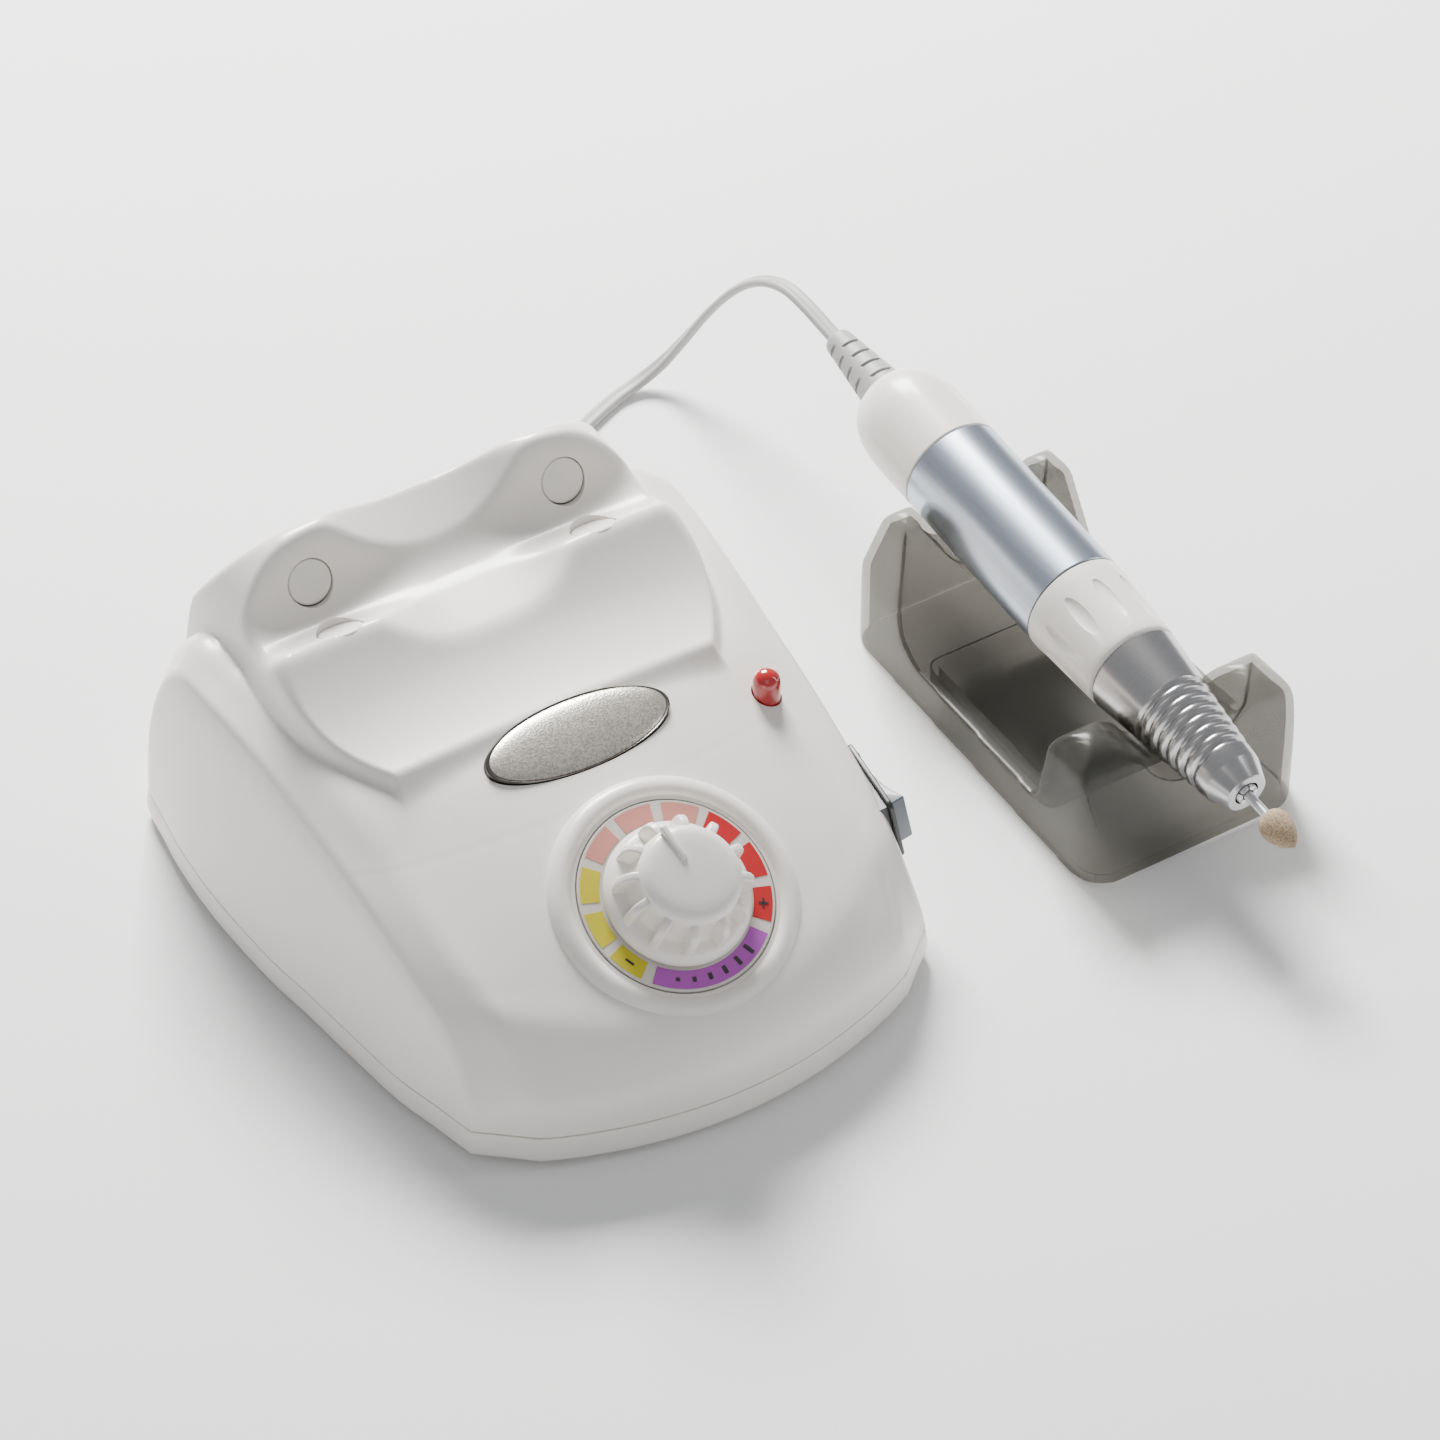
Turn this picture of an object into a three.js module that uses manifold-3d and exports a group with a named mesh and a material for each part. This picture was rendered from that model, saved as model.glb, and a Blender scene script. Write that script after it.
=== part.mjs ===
// Electric nail drill: a desktop control box with a handpiece cradle on its back, a smoky
// handpiece stand beside it, and a motor handpiece with a grinding bit lying on the stand.
// Millimetres. +X to the user's right, +Y away from the user, +Z up.
import * as THREE from "three";
import Module from "manifold-3d";
import { mergeVertices } from "three/addons/utils/BufferGeometryUtils.js";

const wasm = await Module();
wasm.setup();

// ---------- driving dimensions ----------
const gap = 0.3; // face gap between neighbouring pieces

// control box
const bodyWidth = 140; // across the widest point of the case
const bodyLength = 160.7; // nose to back along the seam
const bodyHeight = 49.3; // seam to the crown behind the badge
const caseWall = 2.6; // moulded wall of both shells
const seamHeight = 8.7; // parting line above the table
const footHeight = 1.6; // how far the feet hold the case off the table
const footRadius = 6.5;

// handpiece cradle moulded into the top shell
const cradleHalfSpan = 51.7; // from the middle to the foot of each end
const cradleRimHeight = 82.9; // back rim above the table
const cradleLipHeight = 69.8; // front lip above the table
const troughRadius = 9.2; // round floor that a handpiece lies in
const troughFloor = 65.7; // its lowest line above the table
const troughMiddle = 4.1; // its place from front to back
const padRadius = 5.2; // soft discs let into both walls of the trough
const padThickness = 1;

// speed dial
const dialMiddle = -87.1; // its centre, measured along the case
const dialHeight = 40.3;
const dialTilt = THREE.MathUtils.degToRad(28.6);
const dialPlateRadius = 21.5;
const dialPlateThickness = 1;
const knobSkirtRadius = 16.6;
const knobCapRadius = 12.2;
const knobHeight = 14.6;
const knobFinCount = 12;
const potShaftRadius = 3;

// side and back fittings
const rockerLength = 18; // side direction switch, along its travel
const rockerWidth = 13;
const rockerTilt = THREE.MathUtils.degToRad(9); // either way from level
const rearPanelFace = 38.6; // flat panel let into the back of the case
const socketHeight = 31;

// stand
const standMiddle = 130.1; // its centre line, which the handpiece lies along
const standFrontWidth = 60;
const standRearWidth = 54;
const standLength = 104.9;
const standFront = -101.6;
const standWall = 2.4;
const frontPostHeight = 34.6;
const rearPostHeight = 42;

// handpiece, measured along its axis from the joint of cap and barrel, positive to the bit
const barrelRadius = 13;
const barrelLength = 49.9;
const lockRingLength = 23.8;
const noseLength = 43.6;
const capLength = 28;
const strainReliefLength = 22;
const sleeveWall = 1.2; // wall of the metal barrel
const shankRadius = 1.175; // standard 2.35 mm bit shank
const bitRadius = 3.8;
const bitLength = 10.4;
const bitStart = 125.4; // where the abrasive head begins
const handpieceTilt = THREE.MathUtils.degToRad(5.4); // nose down
const handpieceOrigin = new THREE.Vector3(standMiddle, -0.3, 40);

// handpiece cord, a flat twin cable
const cordWidth = 4;
const cordThickness = 2.1;
const cordTubeRadius = cordThickness * 0.57;

// ---------- materials ----------
function plastic(color, roughness = 0.45) {
  return new THREE.MeshStandardMaterial({ color, roughness, metalness: 0 });
}
function metal(color, roughness = 0.35) {
  return new THREE.MeshStandardMaterial({ color, roughness, metalness: 1 });
}
const material = {
  whiteShell: plastic(0xefebe6, 0.42),
  softPad: plastic(0xe4dfda, 0.6),
  blackPlastic: plastic(0x17181a, 0.5),
  greyPlastic: plastic(0x666c75, 0.45),
  redLens: new THREE.MeshStandardMaterial({ color: 0xb5151c, roughness: 0.15, metalness: 0 }),
  badge: metal(0xcfc9bb, 0.4),
  dialPlate: plastic(0xd8d2c8, 0.5),
  rubber: plastic(0x2b2b2c, 0.9),
  smoke: new THREE.MeshStandardMaterial({
    color: 0x56504c, roughness: 0.2, metalness: 0, transparent: true, opacity: 0.75,
  }),
  steel: metal(0xb9bcc0, 0.3),
  brushedMetal: metal(0xb4bac4, 0.32),
  brass: metal(0xc9a55a, 0.35),
  copper: metal(0xb4673a, 0.4),
  board: plastic(0x1f5a38, 0.55),
  aluminium: metal(0xa9adb2, 0.45),
  greyCord: plastic(0x9b9a97, 0.6),
  stone: plastic(0xa58a66, 0.95),
};

// ---------- solid helpers ----------
function withoutSlivers(geometry) {
  const keep = [];
  const index = geometry.index.array;
  for (let i = 0; i < index.length; i += 3) {
    const [a, b, c] = [index[i], index[i + 1], index[i + 2]];
    if (a !== b && b !== c && c !== a) keep.push(a, b, c);
  }
  geometry.setIndex(keep);
  return geometry;
}

function signedVolume(positions, triangles) {
  const [a, b, c] = [new THREE.Vector3(), new THREE.Vector3(), new THREE.Vector3()];
  let sum = 0;
  for (let i = 0; i < triangles.length; i += 3) {
    a.fromArray(positions, triangles[i] * 3);
    b.fromArray(positions, triangles[i + 1] * 3);
    c.fromArray(positions, triangles[i + 2] * 3);
    sum += a.dot(b.cross(c));
  }
  return sum / 6;
}

// a closed geometry as a manifold solid with its faces pointing out
function solid(geometry) {
  geometry.deleteAttribute("normal");
  geometry.deleteAttribute("uv");
  const merged = withoutSlivers(mergeVertices(geometry, 1e-4));
  const vertProperties = new Float32Array(merged.attributes.position.array);
  const triVerts = new Uint32Array(merged.index.array);
  if (signedVolume(vertProperties, triVerts) < 0) {
    for (let i = 0; i < triVerts.length; i += 3) {
      [triVerts[i], triVerts[i + 1]] = [triVerts[i + 1], triVerts[i]];
    }
  }
  return new wasm.Manifold(new wasm.Mesh({ numProp: 3, vertProperties, triVerts }));
}

function geometryOf(manifold) {
  const mesh = manifold.getMesh();
  const geometry = new THREE.BufferGeometry();
  geometry.setAttribute("position", new THREE.BufferAttribute(new Float32Array(mesh.vertProperties), 3));
  geometry.setIndex(new THREE.BufferAttribute(new Uint32Array(mesh.triVerts), 1));
  return geometry;
}

// a turned solid about Z from [radius, height] pairs that start and end on the axis
function turned(profile, sides = 32) {
  const points = profile.map(([radius, height]) => new THREE.Vector2(radius, height));
  return new THREE.LatheGeometry(points, sides).rotateX(Math.PI / 2);
}

// a turned ring: its [radius, height] profile closes on itself and stays off the axis
function turnedRing(profile, sides = 32) {
  return turned([...profile, profile[0]], sides);
}

function rod(radius, from, to, sides = 24) {
  return turned([[0, from], [radius, from], [radius, to], [0, to]], sides);
}

function tubeRing(inner, outer, from, to, sides = 32) {
  return turnedRing([[inner, from], [outer, from], [outer, to], [inner, to]], sides);
}

function block(sizeX, sizeY, sizeZ, x, y, z) {
  return new THREE.BoxGeometry(sizeX, sizeY, sizeZ).translate(x, y, z);
}

function roundedPlate(sizeX, sizeY, radius, from, to, corner = 4) {
  const shape = new THREE.Shape();
  const [x, y] = [sizeX / 2 - radius, sizeY / 2 - radius];
  shape.absarc(x, y, radius, 0, Math.PI / 2);
  shape.absarc(-x, y, radius, Math.PI / 2, Math.PI);
  shape.absarc(-x, -y, radius, Math.PI, Math.PI * 1.5);
  shape.absarc(x, -y, radius, Math.PI * 1.5, Math.PI * 2);
  const options = { depth: to - from, bevelEnabled: false, curveSegments: corner };
  return new THREE.ExtrudeGeometry(shape, options).translate(0, 0, from);
}

// a closed outline drawn in the YZ plane and pushed along X, centred on x = 0
function sideProfile(points, width) {
  const shape = new THREE.Shape(points.map(([y, z]) => new THREE.Vector2(y, z)));
  const geometry = new THREE.ExtrudeGeometry(shape, { depth: width, bevelEnabled: false });
  return geometry.rotateX(Math.PI / 2).rotateZ(Math.PI / 2).translate(-width / 2, 0, 0);
}

// a closed outline drawn in the XZ plane and pushed along Y
function frontProfile(points, from, to) {
  const shape = new THREE.Shape(points.map(([x, z]) => new THREE.Vector2(x, z)));
  const geometry = new THREE.ExtrudeGeometry(shape, { depth: to - from, bevelEnabled: false });
  return geometry.rotateX(Math.PI / 2).translate(0, to, 0);
}

const model = new THREE.Group();
const cordNames = [];

function add(parent, name, geometry, look) {
  const mesh = new THREE.Mesh(geometry, look);
  mesh.name = name;
  parent.add(mesh);
  return mesh;
}

// ---------- case surface ----------
// Sections from nose to back. Each holds the spine (y, z), the upper crease of the shoulder
// bevel (x, y, z), its lower crease (x, y, z) and the seam outline (x, y). The sections are drawn
// for a case of 140 by 160.7, with a crown 49.3 above the seam, and stretched to the sizes above.
const drawn = { width: 140, length: 160.7, height: 49.3, seam: 8.7 };
const sections = [
  { spine: [-118.2, 8.7], upper: [46.5, -107.5, 8.7], lower: [58.4, -97.3, 8.7], seam: [58.4, -97.3] },
  { spine: [-117, 18], upper: [46.9, -105, 18.9], lower: [57.8, -95, 16], seam: [58.9, -95.3] },
  { spine: [-111.5, 26.6], upper: [47.9, -95, 31.1], lower: [57.7, -85.5, 27.8], seam: [60.9, -86.5] },
  { spine: [-100, 33.4], upper: [49.3, -84, 36.8], lower: [58.6, -74.5, 34], seam: [63.6, -75.3] },
  { spine: [-84, 41.6], upper: [50.2, -70, 41.8], lower: [59.3, -61, 39.6], seam: [65.6, -59] },
  { spine: [-62, 50.2], upper: [50.6, -54, 46.8], lower: [60, -47, 44.2], seam: [67.3, -43] },
  { spine: [-40, 56], upper: [51.2, -36, 52.4], lower: [61, -30, 48.1], seam: [69.2, -27] },
  { spine: [-15, 58], upper: [53, -14, 55.6], lower: [62.3, -10, 52.4], seam: [70, -5] },
  { spine: [8, 58], upper: [55, 9, 57.6], lower: [63.7, 8, 54.2], seam: [69.1, 12] },
  { spine: [26, 56.5], upper: [56.3, 24, 57.3], lower: [64.3, 20, 52.4], seam: [67.5, 23] },
  { spine: [36, 48], upper: [57, 33, 46], lower: [65, 28, 41], seam: [66.3, 31] },
  { spine: [40.5, 30], upper: [57, 37, 28], lower: [65, 33, 26], seam: [65.4, 34.5] },
  { spine: [42.5, 8.7], upper: [57.5, 39.5, 8.7], lower: [64.6, 36, 8.7], seam: [64.6, 36] },
];
const sectionMiddle = (sections[0].spine[0] + sections.at(-1).spine[0]) / 2;

function placed(x, y, z) {
  return new THREE.Vector3(
    (x * bodyWidth) / drawn.width,
    sectionMiddle + ((y - sectionMiddle) * bodyLength) / drawn.length,
    seamHeight + ((z - drawn.seam) * bodyHeight) / drawn.height,
  );
}
function curveThrough(pick) {
  return new THREE.CatmullRomCurve3(sections.map((s) => placed(...pick(s))), false, "catmullrom", 0.5);
}
const lines = {
  spine: curveThrough((s) => [0, ...s.spine]),
  upper: curveThrough((s) => s.upper),
  lower: curveThrough((s) => s.lower),
  seam: curveThrough((s) => [...s.seam, drawn.seam]),
};

// share of the half width, from the spine to the seam, where each band ends
const crownShare = 0.62;
const bevelShare = 0.76;

// a point of the case before the cradle is raised on it; along and across run 0..1 and -1..1
function casePoint(along, across) {
  const side = Math.sign(across) || 1;
  const share = Math.abs(across);
  const upper = lines.upper.getPoint(along);
  const lower = lines.lower.getPoint(along);
  let point;
  if (share <= crownShare) {
    const t = share / crownShare;
    const spine = lines.spine.getPoint(along);
    point = spine.lerp(upper, t * t);
    point.x = upper.x * t;
  } else if (share <= bevelShare) {
    point = upper.lerp(lower, (share - crownShare) / (bevelShare - crownShare));
  } else {
    const seam = lines.seam.getPoint(along);
    point = lower.lerp(seam, (share - bevelShare) / (1 - bevelShare));
  }
  point.x *= side;
  return point;
}

// ---------- cradle surface ----------
function softMin(a, b, blend) {
  const h = Math.max(blend - Math.abs(a - b), 0) / blend;
  return Math.min(a, b) - (h * h * blend) / 4;
}
function softMax(a, b, blend) {
  return -softMin(-a, -b, blend);
}

const crownHeight = seamHeight + bodyHeight;
const widthScale = bodyWidth / drawn.width;
const troughAxis = troughFloor + troughRadius;
const lipEdge = troughMiddle - troughRadius; // front lip meets the trough here
const sweepFoot = -38; // the concave sweep leaves the crown here
const backSlope = 1.75;
const rimBack = 20.8; // where the back rim turns down
const notchRise = 0.11; // the notch in the front lip climbs a little to the back
const notchHalfWidth = 24;
const notchDepth = 5.1;
const saddleRise = 0.47; // the saddle in the back rim climbs more
const saddleHalfWidth = 26;
const saddleDepth = 10.2;

function rearSeam(x) {
  return lines.spine.getPoint(1).y - 3 * ((2 * x) / (0.82 * bodyWidth)) ** 2;
}
// half span of the cradle at a place along the case: it narrows towards the front
function spanAt(y) {
  const lipWidening = 1.3 * THREE.MathUtils.smoothstep(-y, -10, 4);
  const ahead = -4 - Math.max(y, sweepFoot); // distance in front of the lip, up to the sweep's foot
  const frontNarrowing = ahead > 0 ? 11 * (ahead / 32) ** 2 : 0;
  return (cradleHalfSpan + lipWidening - frontNarrowing) * widthScale;
}
// height of the rounded ends: a quarter ellipse from the rim down to the shoulder
function endHeight(x, y) {
  const start = 26 * widthScale;
  const reach = spanAt(y) - start;
  const u = Math.max(Math.abs(x) - start, 0) / reach;
  const rise = cradleRimHeight - crownHeight;
  if (u < 0.995) return crownHeight + rise * Math.sqrt(1 - u * u);
  return crownHeight + rise * 0.1 - (u - 0.995) * reach * 9;
}
function troughHeight(y) {
  const offset = y - troughMiddle;
  const limit = troughRadius * 0.914; // the round floor turns into straight walls here
  const edge = troughAxis - Math.sqrt(troughRadius ** 2 - limit ** 2);
  if (Math.abs(offset) < limit) return troughAxis - Math.sqrt(troughRadius ** 2 - offset ** 2);
  return edge + (Math.abs(offset) - limit) * 2.3;
}
function cradleHeight(x, y) {
  const sweepLength = lipEdge - sweepFoot;
  const sweepShare = Math.max(y - sweepFoot, 0) / sweepLength;
  const sweepStart = crownHeight - 1.2;
  const ahead = Math.max(sweepFoot - y, 0); // the sweep dives under the crown in front of its foot
  const sweep = sweepStart - ahead * 1.6 + (cradleLipHeight - sweepStart) * sweepShare ** 2;
  const front = softMin(sweep, cradleLipHeight, 2.4);
  const back = softMin(cradleRimHeight, cradleRimHeight - (y - rimBack) * backSlope, 4);
  const outer = y < troughMiddle ? front : back;
  const aside = Math.abs(x) / widthScale;
  const notch = 63.7 + (y + 14) * notchRise + notchDepth * (aside / notchHalfWidth) ** 3;
  const saddle = 59.5 + (y + 9.5) * saddleRise + saddleDepth * (aside / saddleHalfWidth) ** 2.2;
  const rearFace = seamHeight - 10 * (y - rearSeam(x) + 1);
  let height = softMin(outer, troughHeight(y), 3);
  height = softMin(height, endHeight(x, y), 5);
  height = y < troughMiddle ? softMin(height, notch, 1.2) : softMin(height, saddle, 3);
  return softMin(height, rearFace, 3);
}
// the same surface seen from inside the wall
function cradleInside(x, y) {
  let height = cradleHeight(x, y) - caseWall;
  for (let i = 0; i < 8; i += 1) {
    const angle = (i * Math.PI) / 4;
    height = Math.min(height, cradleHeight(x + caseWall * Math.cos(angle), y + caseWall * Math.sin(angle)));
  }
  return height;
}

function caseOutside(along, across) {
  const point = casePoint(along, across);
  if (point.z > seamHeight + 0.01) point.z = softMax(point.z, cradleHeight(point.x, point.y), 3);
  return point;
}
function caseInside(along, across) {
  const point = casePoint(along, across);
  point.x *= 1 - (2 * caseWall) / bodyWidth;
  point.y = sectionMiddle + (point.y - sectionMiddle) * (1 - (2 * caseWall) / bodyLength);
  point.z = seamHeight + (point.z - seamHeight) * (1 - caseWall / bodyHeight);
  if (point.z > seamHeight + 0.01) point.z = softMax(point.z, cradleInside(point.x, point.y), 3);
  return point;
}

// places of the grid lines along and across the case
function alongPlaces(fine) {
  const places = [];
  const last = sections.length - 1;
  for (let s = 0; s < last; s += 1) {
    const steps = s >= 6 && s <= 9 ? fine * 3 : fine;
    for (let i = 0; i < steps; i += 1) places.push((s + i / steps) / last);
  }
  places.push(1);
  return places;
}
function acrossPlaces(crownSteps, bevelSteps, wallSteps) {
  const half = [];
  for (let i = 0; i < crownSteps; i += 1) half.push((crownShare * i) / crownSteps);
  for (let i = 0; i < bevelSteps; i += 1) {
    half.push(crownShare + ((bevelShare - crownShare) * i) / bevelSteps);
  }
  for (let i = 0; i <= wallSteps; i += 1) half.push(bevelShare + ((1 - bevelShare) * i) / wallSteps);
  return [...half.slice(1).map((v) => -v).reverse(), ...half];
}

// a closed solid from a grid whose border lies in the seam plane; drop carries the border down
function domed(surface, along, across, drop) {
  const rows = along.map((w) => across.map((v) => surface(w, v)));
  const [n, m] = [rows.length, across.length];
  const positions = rows.flat().flatMap((p) => p.toArray());
  const index = [];
  const at = (i, j) => i * m + j;
  for (let i = 0; i < n - 1; i += 1) {
    for (let j = 0; j < m - 1; j += 1) {
      const [a, b, c, d] = [at(i, j), at(i, j + 1), at(i + 1, j + 1), at(i + 1, j)];
      index.push(a, b, c, a, c, d);
    }
  }
  const border = [];
  for (let j = 0; j < m - 1; j += 1) border.push(at(0, j));
  for (let i = 0; i < n - 1; i += 1) border.push(at(i, m - 1));
  for (let j = m - 1; j > 0; j -= 1) border.push(at(n - 1, j));
  for (let i = n - 1; i > 0; i -= 1) border.push(at(i, 0));
  const floor = seamHeight - drop;
  const lowered = border.map((k) => {
    positions.push(positions[k * 3], positions[k * 3 + 1], floor);
    return positions.length / 3 - 1;
  });
  positions.push(0, sectionMiddle, floor);
  const hub = positions.length / 3 - 1;
  border.forEach((k, i) => {
    const next = (i + 1) % border.length;
    if (drop > 0) {
      index.push(k, lowered[i], lowered[next], k, lowered[next], border[next]);
    }
    index.push(hub, lowered[next], lowered[i]);
  });
  const geometry = new THREE.BufferGeometry();
  geometry.setAttribute("position", new THREE.Float32BufferAttribute(positions, 3));
  geometry.setIndex(index);
  return geometry;
}

// ---------- places on the case ----------
const dialFrame = new THREE.Matrix4().makeRotationX(dialTilt);
dialFrame.setPosition(placed(0, dialMiddle, dialHeight));

const footPlaces = [[-47, -84], [47, -84], [-50, 24], [50, 24]].map(([x, y]) => {
  const p = placed(x, y, drawn.seam);
  return [p.x, p.y];
});
const screwPlaces = [[-40, -90], [40, -90], [-56, 12], [56, 12]].map(([x, y]) => {
  const p = placed(x, y, drawn.seam);
  return [p.x, p.y];
});
const padPlaces = [];
for (const side of [-1, 1]) {
  padPlaces.push({ name: side < 0 ? "left" : "right", wall: "back", x: 32.4 * side * widthScale });
  padPlaces.push({ name: side < 0 ? "left" : "right", wall: "front", x: 32.4 * side * widthScale });
}
function padFrame(pad) {
  const back = pad.wall === "back";
  const tilt = THREE.MathUtils.degToRad(back ? 66 : -38);
  const y = back ? 12.6 : troughMiddle + troughRadius * Math.sin(tilt);
  const z = back ? 71.1 : troughAxis - troughRadius * Math.cos(tilt);
  return new THREE.Matrix4().makeRotationX(tilt).setPosition(pad.x, y, z);
}

// where the side wall lies at a given place and height, with its outward normal
function sideWall(y, z) {
  const wallAt = (w) => {
    const lower = lines.lower.getPoint(w);
    const seam = lines.seam.getPoint(w);
    return seam.lerp(lower, (z - seamHeight) / (lower.z - seamHeight));
  };
  let [low, high] = [0.1, 0.8];
  for (let i = 0; i < 30; i += 1) {
    const middle = (low + high) / 2;
    if (wallAt(middle).y < y) low = middle;
    else high = middle;
  }
  const point = wallAt(low);
  const forward = wallAt(low - 0.01).sub(point);
  const up = lines.lower.getPoint(low).sub(lines.seam.getPoint(low));
  const normal = forward.cross(up).normalize();
  if (normal.x < 0) normal.negate();
  return { point, normal };
}
const switchWall = sideWall(-71.5, 25);
// the switch lies along the side, with its own X up the wall and its Y to the front
const switchFrame = (() => {
  const outward = switchWall.normal;
  const forward = outward.clone().cross(new THREE.Vector3(0, 0, 1)).normalize();
  const upward = forward.clone().cross(outward);
  const frame = new THREE.Matrix4().makeBasis(upward, forward, outward);
  return frame.setPosition(switchWall.point);
})();

const ledPlace = placed(46, -51, drawn.seam);
const ledHeight = 49.2;

const rearFittings = {
  inlet: { x: -37, z: socketHeight },
  mode: { x: -12, z: socketHeight },
  handpiece: { x: 8, z: socketHeight },
  pedal: { x: 24, z: socketHeight },
};
const panelLeft = rearFittings.inlet.x - 15;
const panelRight = rearFittings.pedal.x + 9;
const panelLow = socketHeight - 14;
const panelHigh = socketHeight + 13;

// ---------- case shells ----------
const topOutside = solid(domed(caseOutside, alongPlaces(2), acrossPlaces(11, 1, 2), 0));
const topInside = solid(domed(caseInside, alongPlaces(1), acrossPlaces(7, 1, 1), 6));

function placedSolid(geometry, frame) {
  return solid(geometry.applyMatrix4(frame));
}

function makeTopShell() {
  let shell = topOutside.subtract(topInside);
  // screw posts under the roof
  for (const [x, y] of screwPlaces) {
    const post = solid(rod(4.2, seamHeight + 0.4, cradleRimHeight, 16).translate(x, y, 0)).intersect(topOutside);
    shell = shell.add(post);
  }
  // flat back panel and its shallow recess
  const panel = block(panelRight - panelLeft, 3, panelHigh - panelLow + 6, 0, 0, 0);
  panel.translate((panelLeft + panelRight) / 2, rearPanelFace - 1.5, (panelLow + panelHigh) / 2);
  shell = shell.add(solid(panel).intersect(topOutside));
  const recess = block(panelRight - panelLeft, 20, panelHigh - panelLow, 0, 0, 0);
  recess.translate((panelLeft + panelRight) / 2, rearPanelFace + 10, (panelLow + panelHigh) / 2);
  shell = shell.subtract(solid(recess));
  // round seat of the dial with a raised ring
  const seat = turned([
    [0, -4.4], [26.2, -4.4], [28, -2.6], [27.4, -1.2], [25.6, 0.5], [24.4, 0.6], [23.4, 0], [0, 0],
  ], 32);
  shell = shell.subtract(placedSolid(rod(24, -1, 12, 32), dialFrame));
  shell = shell.add(placedSolid(seat, dialFrame));
  shell = shell.subtract(placedSolid(
    rod(dialPlateRadius + gap, -dialPlateThickness - gap, 6, 32), dialFrame,
  ));
  shell = shell.subtract(placedSolid(rod(4.2, -12, 6, 24), dialFrame));
  // badge pocket
  shell = shell.subtract(solid(makeBadge(gap)));
  // pad recesses
  for (const pad of padPlaces) {
    const pocket = rod(padRadius + gap, -padThickness - gap, 5, 16);
    shell = shell.subtract(placedSolid(pocket, padFrame(pad)));
  }
  // lamp hole
  shell = shell.subtract(solid(rod(3.15 + gap, 30, 70, 20).translate(ledPlace.x, ledPlace.y, 0)));
  // direction switch cut-out
  shell = shell.subtract(placedSolid(
    block(rockerWidth + 3, rockerLength + 3, 30, 0, 0, 0), switchFrame,
  ));
  // holes of the back panel
  for (const [name, fitting] of Object.entries(rearFittings)) {
    const hole = name === "inlet" || name === "mode"
      ? block(name === "inlet" ? 21 : 13.4, 12, name === "inlet" ? 12.6 : 19.4, 0, 0, 0)
      : rod(5 + gap, -6, 6, 24).rotateX(Math.PI / 2);
    shell = shell.subtract(solid(hole.translate(fitting.x, rearPanelFace, fitting.z)));
  }
  // pilot holes and a clean edge above the seam
  for (const [x, y] of screwPlaces) {
    shell = shell.subtract(solid(rod(1.4 + gap, 0, seamHeight + 12, 12).translate(x, y, 0)));
  }
  const below = block(200, 250, 20, 0, sectionMiddle, seamHeight + gap / 2 - 10);
  return shell.subtract(solid(below));
}

// seam outline as a ring of points at a height, drawn in by an inset
function outlineRing(inset, z) {
  const steps = 20;
  const ring = [];
  for (let i = 0; i <= steps; i += 1) ring.push(casePoint(i / steps, 1));
  for (let i = 1; i < 10; i += 1) ring.push(casePoint(1, 1 - i / 5));
  for (let i = steps; i >= 0; i -= 1) ring.push(casePoint(i / steps, -1));
  for (let i = 1; i < 16; i += 1) ring.push(casePoint(0, -1 + i / 8));
  return ring.map((p) => new THREE.Vector3(
    p.x * (1 - (2 * inset) / bodyWidth),
    sectionMiddle + (p.y - sectionMiddle) * (1 - (2 * inset) / bodyLength),
    z,
  ));
}
function stackedRings(rings) {
  const count = rings[0].length;
  const positions = rings.flat().flatMap((p) => p.toArray());
  const index = [];
  for (let r = 0; r < rings.length - 1; r += 1) {
    for (let i = 0; i < count; i += 1) {
      const next = (i + 1) % count;
      const [a, b] = [r * count + i, r * count + next];
      index.push(a, b, b + count, a, b + count, a + count);
    }
  }
  for (const [r, flip] of [[0, true], [rings.length - 1, false]]) {
    positions.push(0, sectionMiddle, rings[r][0].z);
    const hub = positions.length / 3 - 1;
    for (let i = 0; i < count; i += 1) {
      const [a, b] = [r * count + i, r * count + ((i + 1) % count)];
      index.push(...(flip ? [hub, b, a] : [hub, a, b]));
    }
  }
  const geometry = new THREE.BufferGeometry();
  geometry.setAttribute("position", new THREE.Float32BufferAttribute(positions, 3));
  geometry.setIndex(index);
  return geometry;
}

function makeBottomShell() {
  const top = seamHeight - gap / 2;
  const floorTop = footHeight + caseWall;
  let shell = solid(stackedRings([
    outlineRing(0, footHeight), outlineRing(-0.5, footHeight + 1.2), outlineRing(0, top),
  ]));
  const cavity = stackedRings([outlineRing(caseWall + 0.4, floorTop), outlineRing(caseWall, top + 2)]);
  shell = shell.subtract(solid(cavity));
  for (const [x, y] of screwPlaces) {
    shell = shell.add(solid(rod(5, footHeight, top, 16).translate(x, y, 0)));
    shell = shell.subtract(solid(rod(1.4 + gap, 0, 20, 12).translate(x, y, 0)));
    shell = shell.subtract(solid(rod(3.2 + gap, 0, footHeight + 2.4, 16).translate(x, y, 0)));
  }
  for (const [x, y] of boardPosts) {
    shell = shell.add(solid(rod(3, footHeight + 1, boardUnderside - gap, 12).translate(x, y, 0)));
  }
  return shell;
}

function makeBadge(margin) {
  const normalTilt = THREE.MathUtils.degToRad(17);
  const reachX = 22.9 + margin;
  const reachY = 8.8 + margin;
  const base = margin ? -1.2 - margin : -1.2;
  const profile = [[0, base], [1, base], [1, 0.1], [0.97, 0.55], [0.8, 1.1], [0.5, 1.55], [0, 1.8]];
  const dome = turned(margin ? [[0, base], [1, base], [1, 8], [0, 8]] : profile, 40);
  dome.scale(reachX, reachY, 1);
  dome.rotateX(normalTilt);
  const place = placed(0.6, -45.8, 54.7);
  return dome.translate(place.x, place.y, place.z);
}

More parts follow.
